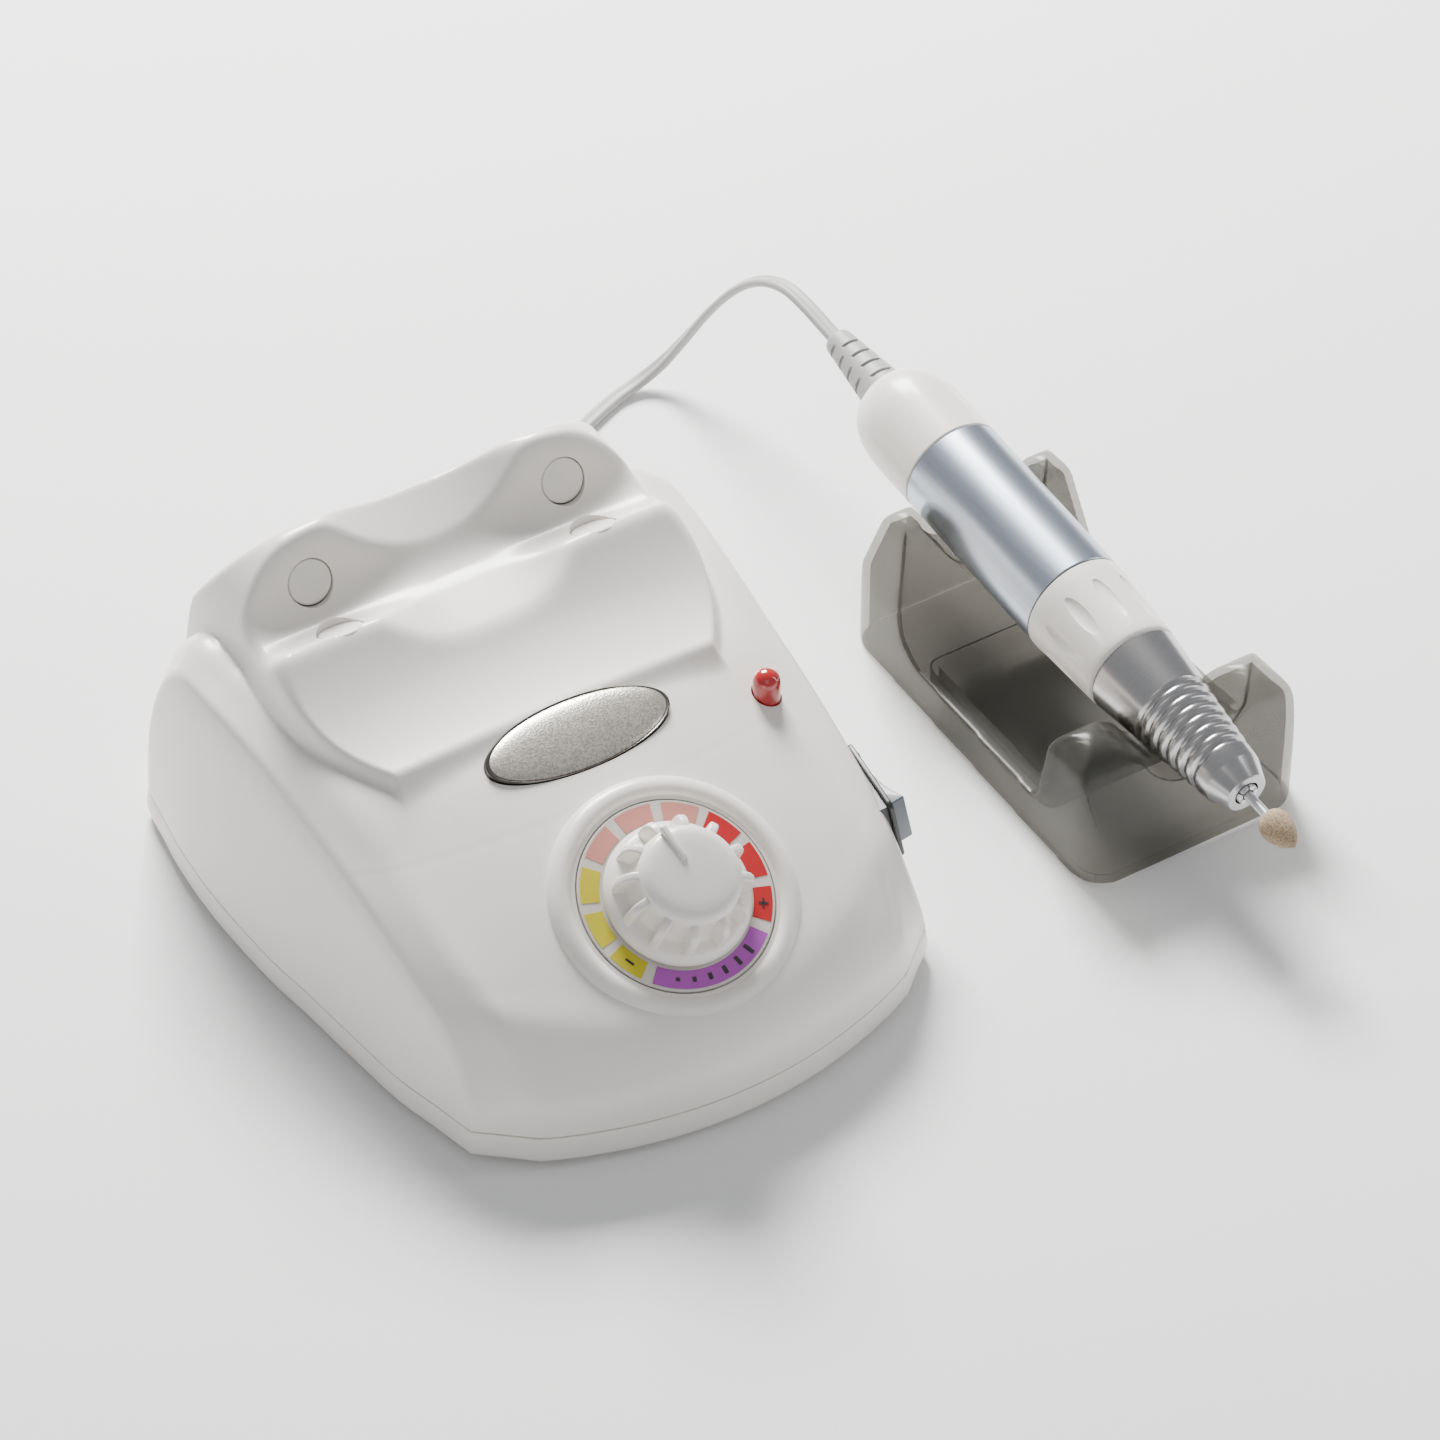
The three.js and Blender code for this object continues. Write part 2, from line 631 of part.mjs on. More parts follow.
// ---------- control electronics inside the case ----------
const boardUnderside = 9.6;
const boardPosts = [[-44, -68], [8, -68], [-44, -30], [8, -30]];

function makeTransformerCore() {
  let core = solid(block(48, 20, 38, 0, 0, 19));
  for (const side of [-1, 1]) {
    core = core.subtract(solid(block(7.8, 24, 24, side * 11.9, 0, 19)));
  }
  return geometryOf(core);
}
function makeTransformerWinding() {
  const outer = roundedPlate(31, 34, 4, 7.3, 30.7, 4);
  const limb = block(16.6, 20.6, 40, 0, 0, 19);
  return geometryOf(solid(outer).subtract(solid(limb)));
}
function makeHeatSink() {
  let sink = solid(block(36, 12, 24, 0, 0, 12));
  for (let i = -3; i <= 3; i += 1) {
    sink = sink.subtract(solid(block(3, 9, 30, i * 5, 3, 12)));
  }
  return geometryOf(sink);
}

function addCase() {
  const box = new THREE.Group();
  model.add(box);
  add(box, "top_shell", geometryOf(makeTopShell()), material.whiteShell);
  add(box, "bottom_shell", geometryOf(makeBottomShell()), material.whiteShell);
  const corners = ["front_left", "front_right", "rear_left", "rear_right"];
  corners.forEach((corner, i) => {
    const foot = turned([
      [0, 0], [footRadius - 0.8, 0], [footRadius, 0.8], [footRadius, footHeight - gap], [0, footHeight - gap],
    ], 16);
    add(box, `foot_${corner}`, foot, material.rubber).position.set(...footPlaces[i], 0);
    const headTop = footHeight + 2.4 - gap;
    const screw = turned([
      [0, headTop - 2], [3.2, headTop - 2], [3.2, headTop], [1.4, headTop], [1.4, seamHeight + 8],
      [0, seamHeight + 9],
    ], 10);
    add(box, `case_screw_${corner}`, screw, material.steel).position.set(...screwPlaces[i], 0);
  });
  for (const pad of padPlaces) {
    const disc = turned([
      [0, -padThickness], [padRadius, -padThickness], [padRadius, -0.25], [padRadius - 0.4, 0], [0, 0.1],
    ], 16);
    add(box, `cradle_pad_${pad.wall}_${pad.name}`, disc.applyMatrix4(padFrame(pad)), material.softPad);
  }
  add(box, "badge", makeBadge(0), material.badge);
  const lens = turned([
    [0, -6], [3.15, -6], [3.15, 3], [2.9, 4.4], [2.2, 5.5], [1.2, 6.1], [0, 6.3],
  ], 24);
  add(box, "power_lamp", lens, material.redLens).position.set(ledPlace.x, ledPlace.y, ledHeight);
}

function addDial() {
  const dial = new THREE.Group();
  dial.applyMatrix4(dialFrame);
  model.add(dial);
  const plate = tubeRing(4.4, dialPlateRadius, -dialPlateThickness, 0, 32);
  add(dial, "dial_plate", plate, material.dialPlate);

  const under = dialPlateThickness + gap + 3.4; // underside of the seat, where the control hangs
  let pot = solid(rod(8.5, -under - 9.4, -under - gap, 24));
  pot = pot.add(solid(rod(3.7, -under - gap - 0.1, 2.6, 20)));
  pot = pot.subtract(solid(rod(potShaftRadius + gap, -under - 4, 4, 20)));
  add(dial, "speed_control", geometryOf(pot), material.greyPlastic);
  const nut = solid(rod(6.2, gap, 2.3, 6)).subtract(solid(rod(3.7 + gap, 0, 4, 20)));
  add(dial, "control_nut", geometryOf(nut), material.steel);
  add(dial, "control_shaft", rod(potShaftRadius, -under - 3.6, 11, 20), material.steel);

  const skirtTop = 4.4;
  let knob = solid(turned([
    [0, 0.7], [knobSkirtRadius, 0.7], [knobSkirtRadius, 1.5], [knobSkirtRadius - 1.6, skirtTop - 0.6],
    [knobSkirtRadius - 3.2, skirtTop], [knobCapRadius, skirtTop + 0.6], [knobCapRadius - 0.9, knobHeight - 1.6],
    [knobCapRadius - 2.6, knobHeight - 0.4], [0, knobHeight],
  ], 32));
  for (let i = 0; i < knobFinCount; i += 1) {
    const fin = block(2, 4.6, knobHeight - 4, 0, knobCapRadius + 0.6, (knobHeight - 4) / 2 + 1.4);
    fin.rotateZ((i / knobFinCount) * Math.PI * 2);
    knob = knob.add(solid(fin));
  }
  knob = knob.add(solid(block(1.5, 8.4, 1.4, 0, knobCapRadius - 4.4, knobHeight - 0.1)));
  knob = knob.subtract(solid(rod(8, 0, 3.2, 24)));
  knob = knob.subtract(solid(rod(potShaftRadius + gap, 0, 11.4, 20)));
  const knobMesh = add(dial, "speed_knob", geometryOf(knob), material.whiteShell);
  knobMesh.rotation.z = THREE.MathUtils.degToRad(7); // pointer a little to the left of the top
}

// a rocker whose face is dished between its two ends; travel runs along local Y
function makeRocker(width, length, proud) {
  const steps = 8;
  const outline = [[-length / 2, -1]];
  for (let i = 0; i <= steps; i += 1) {
    const t = (i / steps) * 2 - 1;
    outline.push([(t * length) / 2, proud - 1.6 + 1.6 * t * t]);
  }
  outline.push([length / 2, -1], [0, -4]);
  return sideProfile(outline, width);
}

function addSwitches() {
  const side = new THREE.Group();
  side.applyMatrix4(switchFrame);
  model.add(side);
  let bezel = solid(roundedPlate(rockerWidth + 4.6, rockerLength + 4.6, 1, gap, 1.5, 3));
  bezel = bezel.add(solid(block(rockerWidth + 2.4, rockerLength + 2.4, 12, 0, 0, -5)));
  bezel = bezel.subtract(solid(block(rockerWidth + 2 * gap, rockerLength + 1.4, 12, 0, 0, 1)));
  add(side, "direction_switch_bezel", geometryOf(bezel), material.blackPlastic);
  // the rocker stands with its front end out
  const rocker = makeRocker(rockerWidth, rockerLength, 3.8).rotateX(rockerTilt);
  add(side, "direction_rocker", rocker, material.greyPlastic);

  const rear = new THREE.Group();
  rear.position.set(rearFittings.mode.x, rearPanelFace, rearFittings.mode.z);
  rear.rotation.set(-Math.PI / 2, 0, 0);
  model.add(rear);
  let frame = solid(roundedPlate(15, 21, 1, gap, 1.5, 3));
  frame = frame.add(solid(block(12.8, 18.8, 12, 0, 0, -5)));
  frame = frame.subtract(solid(block(9.5 + 2 * gap, 14 + 1.4, 12, 0, 0, 1)));
  add(rear, "mode_switch_bezel", geometryOf(frame), material.blackPlastic);
  add(rear, "mode_rocker", makeRocker(9.5, 14, 3.6), material.blackPlastic);
}

function addRearFittings() {
  for (const name of ["handpiece", "pedal"]) {
    const socket = turnedRing([
      [2.2, -10], [4.9, -10], [4.9, gap], [6.8, gap], [6.8, 1.6], [6.2, 2], [2.2, 2],
    ], 24);
    const mesh = add(model, `${name}_socket`, socket, material.blackPlastic);
    mesh.rotation.x = -Math.PI / 2;
    mesh.position.set(rearFittings[name].x, rearPanelFace, rearFittings[name].z);
  }
  // two-pin mains inlet: a plate and a shrouded well that opens to the back
  let inlet = solid(roundedPlate(26, 17, 2, gap, 1.8, 3));
  inlet = inlet.add(solid(roundedPlate(20.4, 12, 4, -12, 1, 4)));
  inlet = inlet.subtract(solid(roundedPlate(17, 8.6, 4, -9, 3, 4)));
  for (const x of [-4.1, 4.1]) inlet = inlet.add(solid(rod(1.2, -9.5, -0.5, 12).translate(x, 0, 0)));
  const mesh = add(model, "mains_inlet", geometryOf(inlet), material.blackPlastic);
  mesh.rotation.x = -Math.PI / 2;
  mesh.position.set(rearFittings.inlet.x, rearPanelFace, rearFittings.inlet.z);
}

function addElectronics() {
  const floor = footHeight + caseWall + gap;
  const transformer = new THREE.Group();
  transformer.position.set(14, 2, floor);
  model.add(transformer);
  add(transformer, "transformer_core", makeTransformerCore(), material.steel);
  add(transformer, "transformer_winding", makeTransformerWinding(), material.copper);
  const board = block(64, 50, 1.6, -18, -49, boardUnderside + 0.8);
  add(model, "circuit_board", board, material.board);
  const deck = boardUnderside + 1.6 + gap;
  const capacitor = turned([[0, 0], [8.4, 0], [9, 0.6], [9, 25], [8.2, 26], [0, 26]], 24);
  add(model, "smoothing_capacitor", capacitor, material.blackPlastic).position.set(-38, -38, deck);
  add(model, "heat_sink", makeHeatSink(), material.aluminium).position.set(-18, -60, deck);
}

// ---------- stand ----------
function arcPoints(cx, cy, radius, from, to, steps) {
  const points = [];
  for (let i = 0; i <= steps; i += 1) {
    const angle = THREE.MathUtils.degToRad(from + ((to - from) * i) / steps);
    points.push([cx + radius * Math.cos(angle), cy + radius * Math.sin(angle)]);
  }
  return points;
}

// across outline of a saddle wall: two rounded horns with a round notch between them
function saddleOutline(notchRadius, notchFloor, hornX, hornTop, hornRadius, foot, halfWidth) {
  const half = [
    ...arcPoints(0, notchFloor + notchRadius, notchRadius, -90, -22, 8),
    ...arcPoints(hornX, hornTop - hornRadius, hornRadius, 150, 12, 8),
    [halfWidth, foot],
    [halfWidth, 0],
  ];
  const mirrored = half.slice(1).map(([x, z]) => [-x, z]).reverse();
  return [...mirrored, ...half];
}

// narrows a shape drawn at the stand's front width towards the stand's rear width
function narrowed(geometry) {
  const places = geometry.attributes.position;
  const slope = (standRearWidth / standFrontWidth - 1) / standLength;
  for (let i = 0; i < places.count; i += 1) {
    places.setX(i, places.getX(i) * (1 + slope * places.getY(i)));
  }
  return geometry;
}

function makeStand() {
  const length = standLength;
  const width = standFrontWidth;
  const rail = 10.5;
  const tray = 3.6;
  const frontPost = 13.5; // crest of the front posts behind the front edge
  const rearPost = length - 13.2;
  // side view, from the front edge at y = 0
  const frontWall = [
    [0, 0], [0, 9], [4.6, 24], ...arcPoints(frontPost, frontPostHeight - 8, 8, 165, 15, 6),
    [frontPost + 10, rail + 3], [frontPost + 13, rail], [frontPost + 13, 0],
  ];
  const rearWall = [
    [length - 30, 0], [length - 30, rail], [length - 23, rail + 4],
    ...arcPoints(rearPost, rearPostHeight - 5.2, 5.2, 170, 20, 6), [length, 9], [length, 0],
  ];
  const frontSaddle = saddleOutline(11.2, 20, 21.9, frontPostHeight, 7.4, 16, width / 2);
  const rearNotch = barrelRadius + 2 * gap; // round the barrel, whose axis is 38.8 up here
  const rearSaddle = saddleOutline(rearNotch, 38.8 - rearNotch, 21.2, rearPostHeight, 5, 20, width / 2);
  const front = solid(sideProfile(frontWall, width)).intersect(solid(frontProfile(frontSaddle, 0, 30)));
  const rear = solid(sideProfile(rearWall, width)).intersect(
    solid(frontProfile(rearSaddle, length - 32, length)),
  );
  // hollow undersides follow the walls
  const under = (from, to, height) => solid(narrowed(
    block(width - 2 * standWall, to - from, height + 1, 0, (from + to) / 2, (height - 1) / 2),
  ));
  const rails = solid(block(width, length - 4, rail, 0, length / 2, rail / 2));
  const trayCut = solid(narrowed(
    roundedPlate(width - 13, length - 49, 4, tray, 60, 4).translate(0, length / 2 + 0.5, 0),
  ));
  const plan = solid(narrowed(roundedPlate(width, length, 9, -1, 60, 6).translate(0, length / 2, 0)));
  let stand = rails.subtract(trayCut).add(front).add(rear).intersect(plan);
  stand = stand.subtract(under(6.5, 21, 16)).subtract(under(length - 15, length - 4, 21));
  stand = stand.subtract(under(28, length - 30, tray - standWall + 0.6));
  // framed recess in the tray floor
  const recess = roundedPlate(width - 20, length - 62, 2, tray - 0.7, 8, 3);
  return geometryOf(stand.subtract(solid(narrowed(recess.translate(0, length / 2 + 0.5, 0)))));
}

function addStand() {
  const mesh = add(model, "handpiece_stand", makeStand(), material.smoke);
  mesh.position.set(standMiddle, standFront, 0);
}

// ---------- handpiece ----------
const ringStart = barrelLength + gap / 2;
const ringEnd = barrelLength + lockRingLength - gap / 2;
const noseStart = barrelLength + lockRingLength + gap / 2;
const noseEnd = barrelLength + lockRingLength + noseLength;
const noseBackRadius = 11.7;
const noseFrontRadius = 4.9;
const sleeveOuter = 9; // tube of the nose that carries the lock ring
const sleeveInner = 7.9;
const motorRadius = 10.6;

function makeRearCap() {
  const tail = -capLength;
  const outer = turned([
    [0, tail], [6.6, tail], [8.4, tail + 0.7], [10.6, tail + 3], [12.2, tail + 7], [barrelRadius, tail + 12.5],
    [barrelRadius, -gap / 2], [0, -gap / 2],
  ], 28);
  const inner = turned([
    [0, tail + 3], [5, tail + 3], [9.2, tail + 8], [barrelRadius - 1.5, tail + 14], [barrelRadius - 1.5, 4], [0, 4],
  ], 24);
  const cordHole = rod(3.4, tail - 1, tail + 5, 20);
  return geometryOf(solid(outer).subtract(solid(inner)).subtract(solid(cordHole)));
}

function makeLockRing() {
  const [from, to] = [ringStart, ringEnd];
  let ring = solid(turnedRing([
    [sleeveOuter + gap, from], [barrelRadius, from], [barrelRadius, from + 1.6], [12.7, from + 6],
    [11.9, to - 1], [11.6, to], [sleeveOuter + gap, to],
  ], 30));
  const fluteCount = 10;
  for (let i = 0; i < fluteCount; i += 1) {
    const flute = new THREE.SphereGeometry(1, 8, 6).scale(2.1, 1.1, 7.6);
    flute.translate(0, 12.9, (from + to) / 2 + 1.2).rotateZ((i / fluteCount) * Math.PI * 2);
    ring = ring.subtract(solid(flute));
  }
  return geometryOf(ring);
}

function makeNose() {
  const cone = 14.5; // smooth cone behind the grip grooves
  const grooveCount = 7;
  const groovePitch = 3;
  const landEnd = noseEnd - 5;
  const radiusAt = (s) => THREE.MathUtils.mapLinear(s, noseStart, landEnd, noseBackRadius, 7.2);
  const outside = [[sleeveOuter, barrelLength + gap], [sleeveOuter, noseStart + 0.2]];
  outside.push([noseBackRadius, noseStart + 0.2]);
  for (let i = 0; i < grooveCount; i += 1) {
    const s = noseStart + cone + i * groovePitch;
    outside.push([radiusAt(s), s], [radiusAt(s) - 0.9, s + 0.5]);
    outside.push([radiusAt(s) - 0.9, s + 1.4], [radiusAt(s + 1.9), s + 1.9]);
  }
  outside.push([radiusAt(landEnd), landEnd], [noseFrontRadius, noseEnd]);
  const inside = [[3.1, noseEnd], [3.1, noseEnd - 3], [5.3, noseEnd - 3], [5.3, noseEnd - 11]];
  inside.push([4.4, noseEnd - 12], [4.4, noseStart + 16], [6.4, noseStart + 15]);
  inside.push([6.4, noseStart + 6], [sleeveInner, noseStart + 2], [sleeveInner, barrelLength + gap]);
  return turnedRing([...outside, ...inside], 22);
}

function makeStrainRelief() {
  const from = -capLength - gap;
  const to = -capLength - strainReliefLength;
  const steps = 7;
  const profile = [[0, to], [3.1, to]];
  // ribs step down towards the cord
  for (let i = steps - 1; i >= 0; i -= 1) {
    const radius = THREE.MathUtils.lerp(5.85, 3.4, (i + 0.5) / steps);
    const s = THREE.MathUtils.lerp(from, to + 1, (i + 1) / steps);
    const next = THREE.MathUtils.lerp(from, to + 1, i / steps);
    profile.push([radius - 0.6, s], [radius - 0.6, s + 0.9], [radius, s + 0.9], [radius + 0.15, next]);
  }
  profile.push([0, from]);
  return turned(profile, 12);
}

function makeCollet() {
  const [from, to] = [noseEnd - 14, noseEnd + 0.6];
  let collet = solid(turnedRing([
    [shankRadius + gap, from], [2.2, from], [2.2, to - 3], [2.7, to - 0.6], [2.5, to], [shankRadius + gap, to],
  ], 24));
  for (const angle of [0, 60, 120]) {
    const slit = block(0.4, 8, 9, 0, 0, to - 3.5).rotateZ(THREE.MathUtils.degToRad(angle));
    collet = collet.subtract(solid(slit));
  }
  return geometryOf(collet);
}

function makeBitHead() {
  const [s, r] = [bitStart, bitRadius];
  const profile = [[0, s], [r * 0.5, s], [r * 0.86, s + 1]];
  for (let i = 0; i <= 6; i += 1) {
    const t = i / 6;
    profile.push([r * (1 - 0.93 * t ** 2.1) ** 0.8, s + 2.6 + t * (bitLength - 3)]);
  }
  profile.push([0, s + bitLength]);
  return turned(profile, 16);
}

function addHandpiece() {
  const hand = new THREE.Group();
  hand.position.copy(handpieceOrigin);
  hand.rotation.x = Math.PI / 2 + handpieceTilt;
  model.add(hand);
  add(hand, "rear_cap", makeRearCap(), material.whiteShell);
  add(hand, "barrel", tubeRing(
    barrelRadius - sleeveWall, barrelRadius, gap / 2, barrelLength - gap / 2, 32,
  ), material.brushedMetal);
  add(hand, "lock_ring", makeLockRing(), material.whiteShell);
  add(hand, "nose_cone", makeNose(), material.brushedMetal);
  cordNames.push("strain_relief");
  add(hand, "strain_relief", makeStrainRelief(), material.greyCord);

  // motor
  const shaft = 1.2;
  const can = turnedRing([
    [shaft + gap, -14], [motorRadius, -14], [motorRadius, 26], [shaft + gap, 26], [shaft + gap, 24.6],
    [9.4, 24.6], [9.4, -12.6], [shaft + gap, -12.6],
  ], 32);
  add(hand, "motor_can", can, material.steel);
  add(hand, "ring_magnet", tubeRing(7.9, 9.1, -2, 21, 32), material.greyPlastic);
  add(hand, "motor_shaft", rod(shaft, -15.5, 35, 16), material.steel);
  let armature = solid(tubeRing(shaft + gap, 7.4, 0, 19, 30));
  for (let i = 0; i < 5; i += 1) {
    const slot = block(1.6, 5, 30, 0, 6.6, 10).rotateZ((i / 5) * Math.PI * 2);
    armature = armature.subtract(solid(slot));
  }
  add(hand, "armature", geometryOf(armature), material.copper);
  add(hand, "commutator", tubeRing(shaft + gap, 3.2, -8, -0.4, 20), material.copper);
  for (const side of [-1, 1]) {
    const brush = block(5.2, 3, 3.4, side * (3.2 + gap + 2.6), 0, -4.4);
    add(hand, side < 0 ? "brush_left" : "brush_right", brush, material.greyPlastic);
  }

  // drive train and chuck
  const coupling = turnedRing([
    [shaft + gap, 28], [4.4, 28], [4.4, 41], [2.4, 41], [2.4, 35.6], [shaft + gap, 35.6],
  ], 24);
  add(hand, "drive_coupling", coupling, material.brass);
  add(hand, "spindle", makeSpindle(), material.steel);
  add(hand, "rear_bearing", tubeRing(3.6 + gap, 6.1, noseStart + 7, noseStart + 12, 28), material.steel);
  add(hand, "front_bearing", tubeRing(3.6 + gap, 5, noseEnd - 9, noseEnd - 5, 28), material.steel);
  add(hand, "release_sleeve", tubeRing(3.6 + gap, sleeveInner - gap, 56, 66, 28), material.brass);
  add(hand, "collet", makeCollet(), material.steel);
  add(hand, "bit_shank", rod(shankRadius, noseEnd - 20, bitStart - gap, 16), material.steel);
  add(hand, "bit_head", makeBitHead(), material.stone);
}

function makeSpindle() {
  const front = noseEnd - 3.4;
  const outer = turned([[0, 36], [2.1, 36], [2.1, 43], [3.6, 43], [3.6, front], [0, front]], 24);
  const bore = rod(2.2 + gap, noseEnd - 22, noseEnd + 2, 24);
  return geometryOf(solid(outer).subtract(solid(bore)));
}

// ---------- handpiece cord ----------
// The lead leaves the strain relief, falls behind the stand and runs along the table to the coil
// behind the case; the tail climbs from the coil to the plug in the back panel.
const coilMiddle = new THREE.Vector2(44, 66.8);
const coilInnerTurn = 17.9;
const coilOuterTurn = 22.1;
const coilHeight = 10.6;
const leadRoute = [
  [130.1, 56, 45.4], [130.1, 63, 46], [129.9, 70, 46], [129.3, 77, 44], [128.2, 84, 39.6],
  [126.4, 90.5, 32.8], [123.8, 96.4, 24], [120.4, 101, 14.8], [115.8, 104.2, 7], [109.6, 105.4, 2.4],
  [102.6, 104.6, 1.35], [95.5, 101.8, 1.35], [87, 98, 1.35], [79, 94.6, 1.35], [70, 91.6, 1.35], [60, 90.8, 1.35],
];
const tailRoute = [
  [17.4, 64, 1.35], [17.6, 58, 1.35], [16.4, 52.8, 1.5], [13.6, 49.6, 2.6], [10.6, 48.4, 5.2],
  [8.6, 48.1, 8.8], [8, 48.1, 12.6],
];

// a plain round tube stands for the flat cable along its route
function cordTube(points, steps) {
  const section = new THREE.Shape();
  for (let i = 0; i < 8; i += 1) {
    const angle = (i / 8) * Math.PI * 2;
    const corner = [cordTubeRadius * Math.cos(angle), cordTubeRadius * Math.sin(angle)];
    if (i === 0) section.moveTo(...corner);
    else section.lineTo(...corner);
  }
  section.closePath();
  const path = new THREE.CatmullRomCurve3(points.map((p) => new THREE.Vector3(...p)));
  return new THREE.ExtrudeGeometry(section, { steps, extrudePath: path, bevelEnabled: false });
}

function addCord() {
  const backwards = new THREE.Vector3(0, Math.cos(handpieceTilt), Math.sin(handpieceTilt));
  const exit = backwards.multiplyScalar(capLength + strainReliefLength + gap).add(handpieceOrigin);
  add(model, "cord_lead", cordTube([exit.toArray(), ...leadRoute], 34), material.greyCord);
  add(model, "cord_tail", cordTube(tailRoute, 12), material.greyCord);
  const half = cordWidth / 2 + 0.1;
  const ring = turnedRing([
    [coilInnerTurn - half, 0.2], [coilOuterTurn + half, 0.2], [coilOuterTurn + half, 4.8],
    [coilInnerTurn + half, coilHeight], [coilInnerTurn - half, coilHeight],
  ], 36);
  add(model, "cord_coil", ring, material.greyCord).position.set(coilMiddle.x, coilMiddle.y, 0);

  const socket = rearFittings.handpiece;
  const mouth = rearPanelFace + 2 + gap;
  let plug = solid(rod(1.75, -8, 4, 16));
  plug = plug.add(solid(turned([[0, 0], [4.6, 0], [5, 0.5], [5, 9], [4, 10.6], [0, 11.4]], 24)));
  plug = plug.rotate([-90, 0, 0]).translate([socket.x, mouth, socket.z]);
  const leg = turned([[0, 13], [2.5, 13], [3.4, 20], [4.4, 26], [4.4, socket.z], [0, socket.z]], 20);
  plug = plug.add(solid(leg.translate(socket.x, 48.1, 0)));
  add(model, "handpiece_plug", geometryOf(plug), material.blackPlastic);
  cordNames.push("cord_lead", "cord_tail", "cord_coil", "handpiece_plug");
}

addCase();
addDial();
addSwitches();
addRearFittings();
addElectronics();
addStand();
addHandpiece();
addCord();

// the origin is the middle of the underside, measured without the cord and what is on it
model.updateMatrixWorld(true);
const extent = new THREE.Box3();
model.traverse((child) => {
  if (child.isMesh && !cordNames.includes(child.name)) extent.expandByObject(child, true);
});
model.position.set(-(extent.min.x + extent.max.x) / 2, -(extent.min.y + extent.max.y) / 2, -extent.min.z);
model.updateMatrixWorld(true);

export default model;
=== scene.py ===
import math

import bpy
from bpy.props import FloatProperty, FloatVectorProperty, IntProperty, PointerProperty
from mathutils import Matrix, Vector


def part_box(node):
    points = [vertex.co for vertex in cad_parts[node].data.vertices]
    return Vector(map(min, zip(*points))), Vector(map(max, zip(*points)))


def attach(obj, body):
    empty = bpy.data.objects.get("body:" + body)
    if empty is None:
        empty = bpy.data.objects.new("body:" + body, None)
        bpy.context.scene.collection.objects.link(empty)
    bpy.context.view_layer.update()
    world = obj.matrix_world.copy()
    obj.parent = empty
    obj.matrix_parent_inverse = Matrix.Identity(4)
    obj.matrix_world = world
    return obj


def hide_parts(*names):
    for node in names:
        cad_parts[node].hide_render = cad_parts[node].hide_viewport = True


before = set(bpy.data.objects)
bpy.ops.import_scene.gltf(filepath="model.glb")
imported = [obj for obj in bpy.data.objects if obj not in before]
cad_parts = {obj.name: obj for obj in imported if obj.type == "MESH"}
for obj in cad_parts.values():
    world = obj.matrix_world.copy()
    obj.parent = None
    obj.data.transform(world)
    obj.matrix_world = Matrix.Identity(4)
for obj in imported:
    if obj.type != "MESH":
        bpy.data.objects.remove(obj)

bl_info = {
    "name": "Nail drill looks",
    "version": (1, 0, 0),
    "blender": (4, 5, 0),
    "location": "View3D > Sidebar > Nail drill",
    "description": "Builds the looks of a desktop nail drill with its handpiece and stand",
    "category": "Object",
}

MM = 0.001
DIAL_AHEAD = 86.861  # the box's home lies this far behind the dial's middle
HANDPIECE_ASIDE = 130.1  # the handpiece and its stand lie this far to the right of the box's middle
STAND_FRONT = -101.6


def home_of_the_box():
    """The table point under the dial's centre line that the sizes below count from."""
    low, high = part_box("bottom_shell")
    dial_low, dial_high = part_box("dial_plate")
    return Vector(((low.x + high.x) / 2, (dial_low.y + dial_high.y) / 2 + DIAL_AHEAD * MM, 0))


HOME = home_of_the_box()


def at(x, y, z):
    """A place in millimetres from the box's home as a point in the row frame."""
    return HOME + Vector((x, y, z)) * MM


def frame_at(x, y, z, tilt):
    return Matrix.Translation(at(x, y, z)) @ Matrix.Rotation(math.radians(tilt), 4, "X")


DIAL = frame_at(0, -87.1, 40.3, 28.6)
HAND = frame_at(HANDPIECE_ASIDE, -0.3, 40, 95.4)

# ---------- sizes ----------


def metres(name, description, default):
    """A length that the sidebar shows in the scene's units."""
    return FloatProperty(
        name=name, description=description, default=default, subtype="DISTANCE", unit="LENGTH")


class StageSizes(bpy.types.PropertyGroup):
    """The floor, the camera and the lights round the object."""

    azimuth: FloatProperty(
        name="Azimuth", description="Side from which the camera looks",
        default=math.radians(-32.3), subtype="ANGLE", unit="ROTATION")
    elevation: FloatProperty(
        name="Elevation", description="Height of the camera above the horizon",
        default=math.radians(42.4), subtype="ANGLE", unit="ROTATION")
    distance: metres("Distance", "Camera to the point it looks at", 1.3817)
    lens: FloatProperty(
        name="Lens", description="Focal length in millimetres",
        default=149.07, subtype="DISTANCE_CAMERA")
    floor_colour: FloatVectorProperty(
        name="Floor", description="Colour of the floor", default=(0.93, 0.93, 0.93), subtype="COLOR")


class CordSizes(bpy.types.PropertyGroup):
    """The flat twin cable from the handpiece to the box."""

    width: metres("Width", "Across both cores", 0.004)
    thickness: metres("Thickness", "Through one core", 0.0021)
    inner_turn: metres("Inner turn", "Radius of the inner turns of the spare coil", 0.0179)
    outer_turn: metres("Outer turn", "Radius of the outer turns of the spare coil", 0.0222)
    inner_turns: IntProperty(
        name="Inner turns", description="Turns stacked on the inner radius", default=5)


class CaseSizes(bpy.types.PropertyGroup):
    """The moulded case of the control box."""

    wall: metres("Wall", "Thickness of the moulded wall", 0.0026)
    softness: FloatProperty(
        name="Softness", description="Share of the half width over which a crease is rounded",
        default=0.03)
    steps_along: IntProperty(name="Steps along", description="Grid steps per section", default=14)
    steps_across: IntProperty(
        name="Steps across", description="Grid steps over half the crown", default=40)


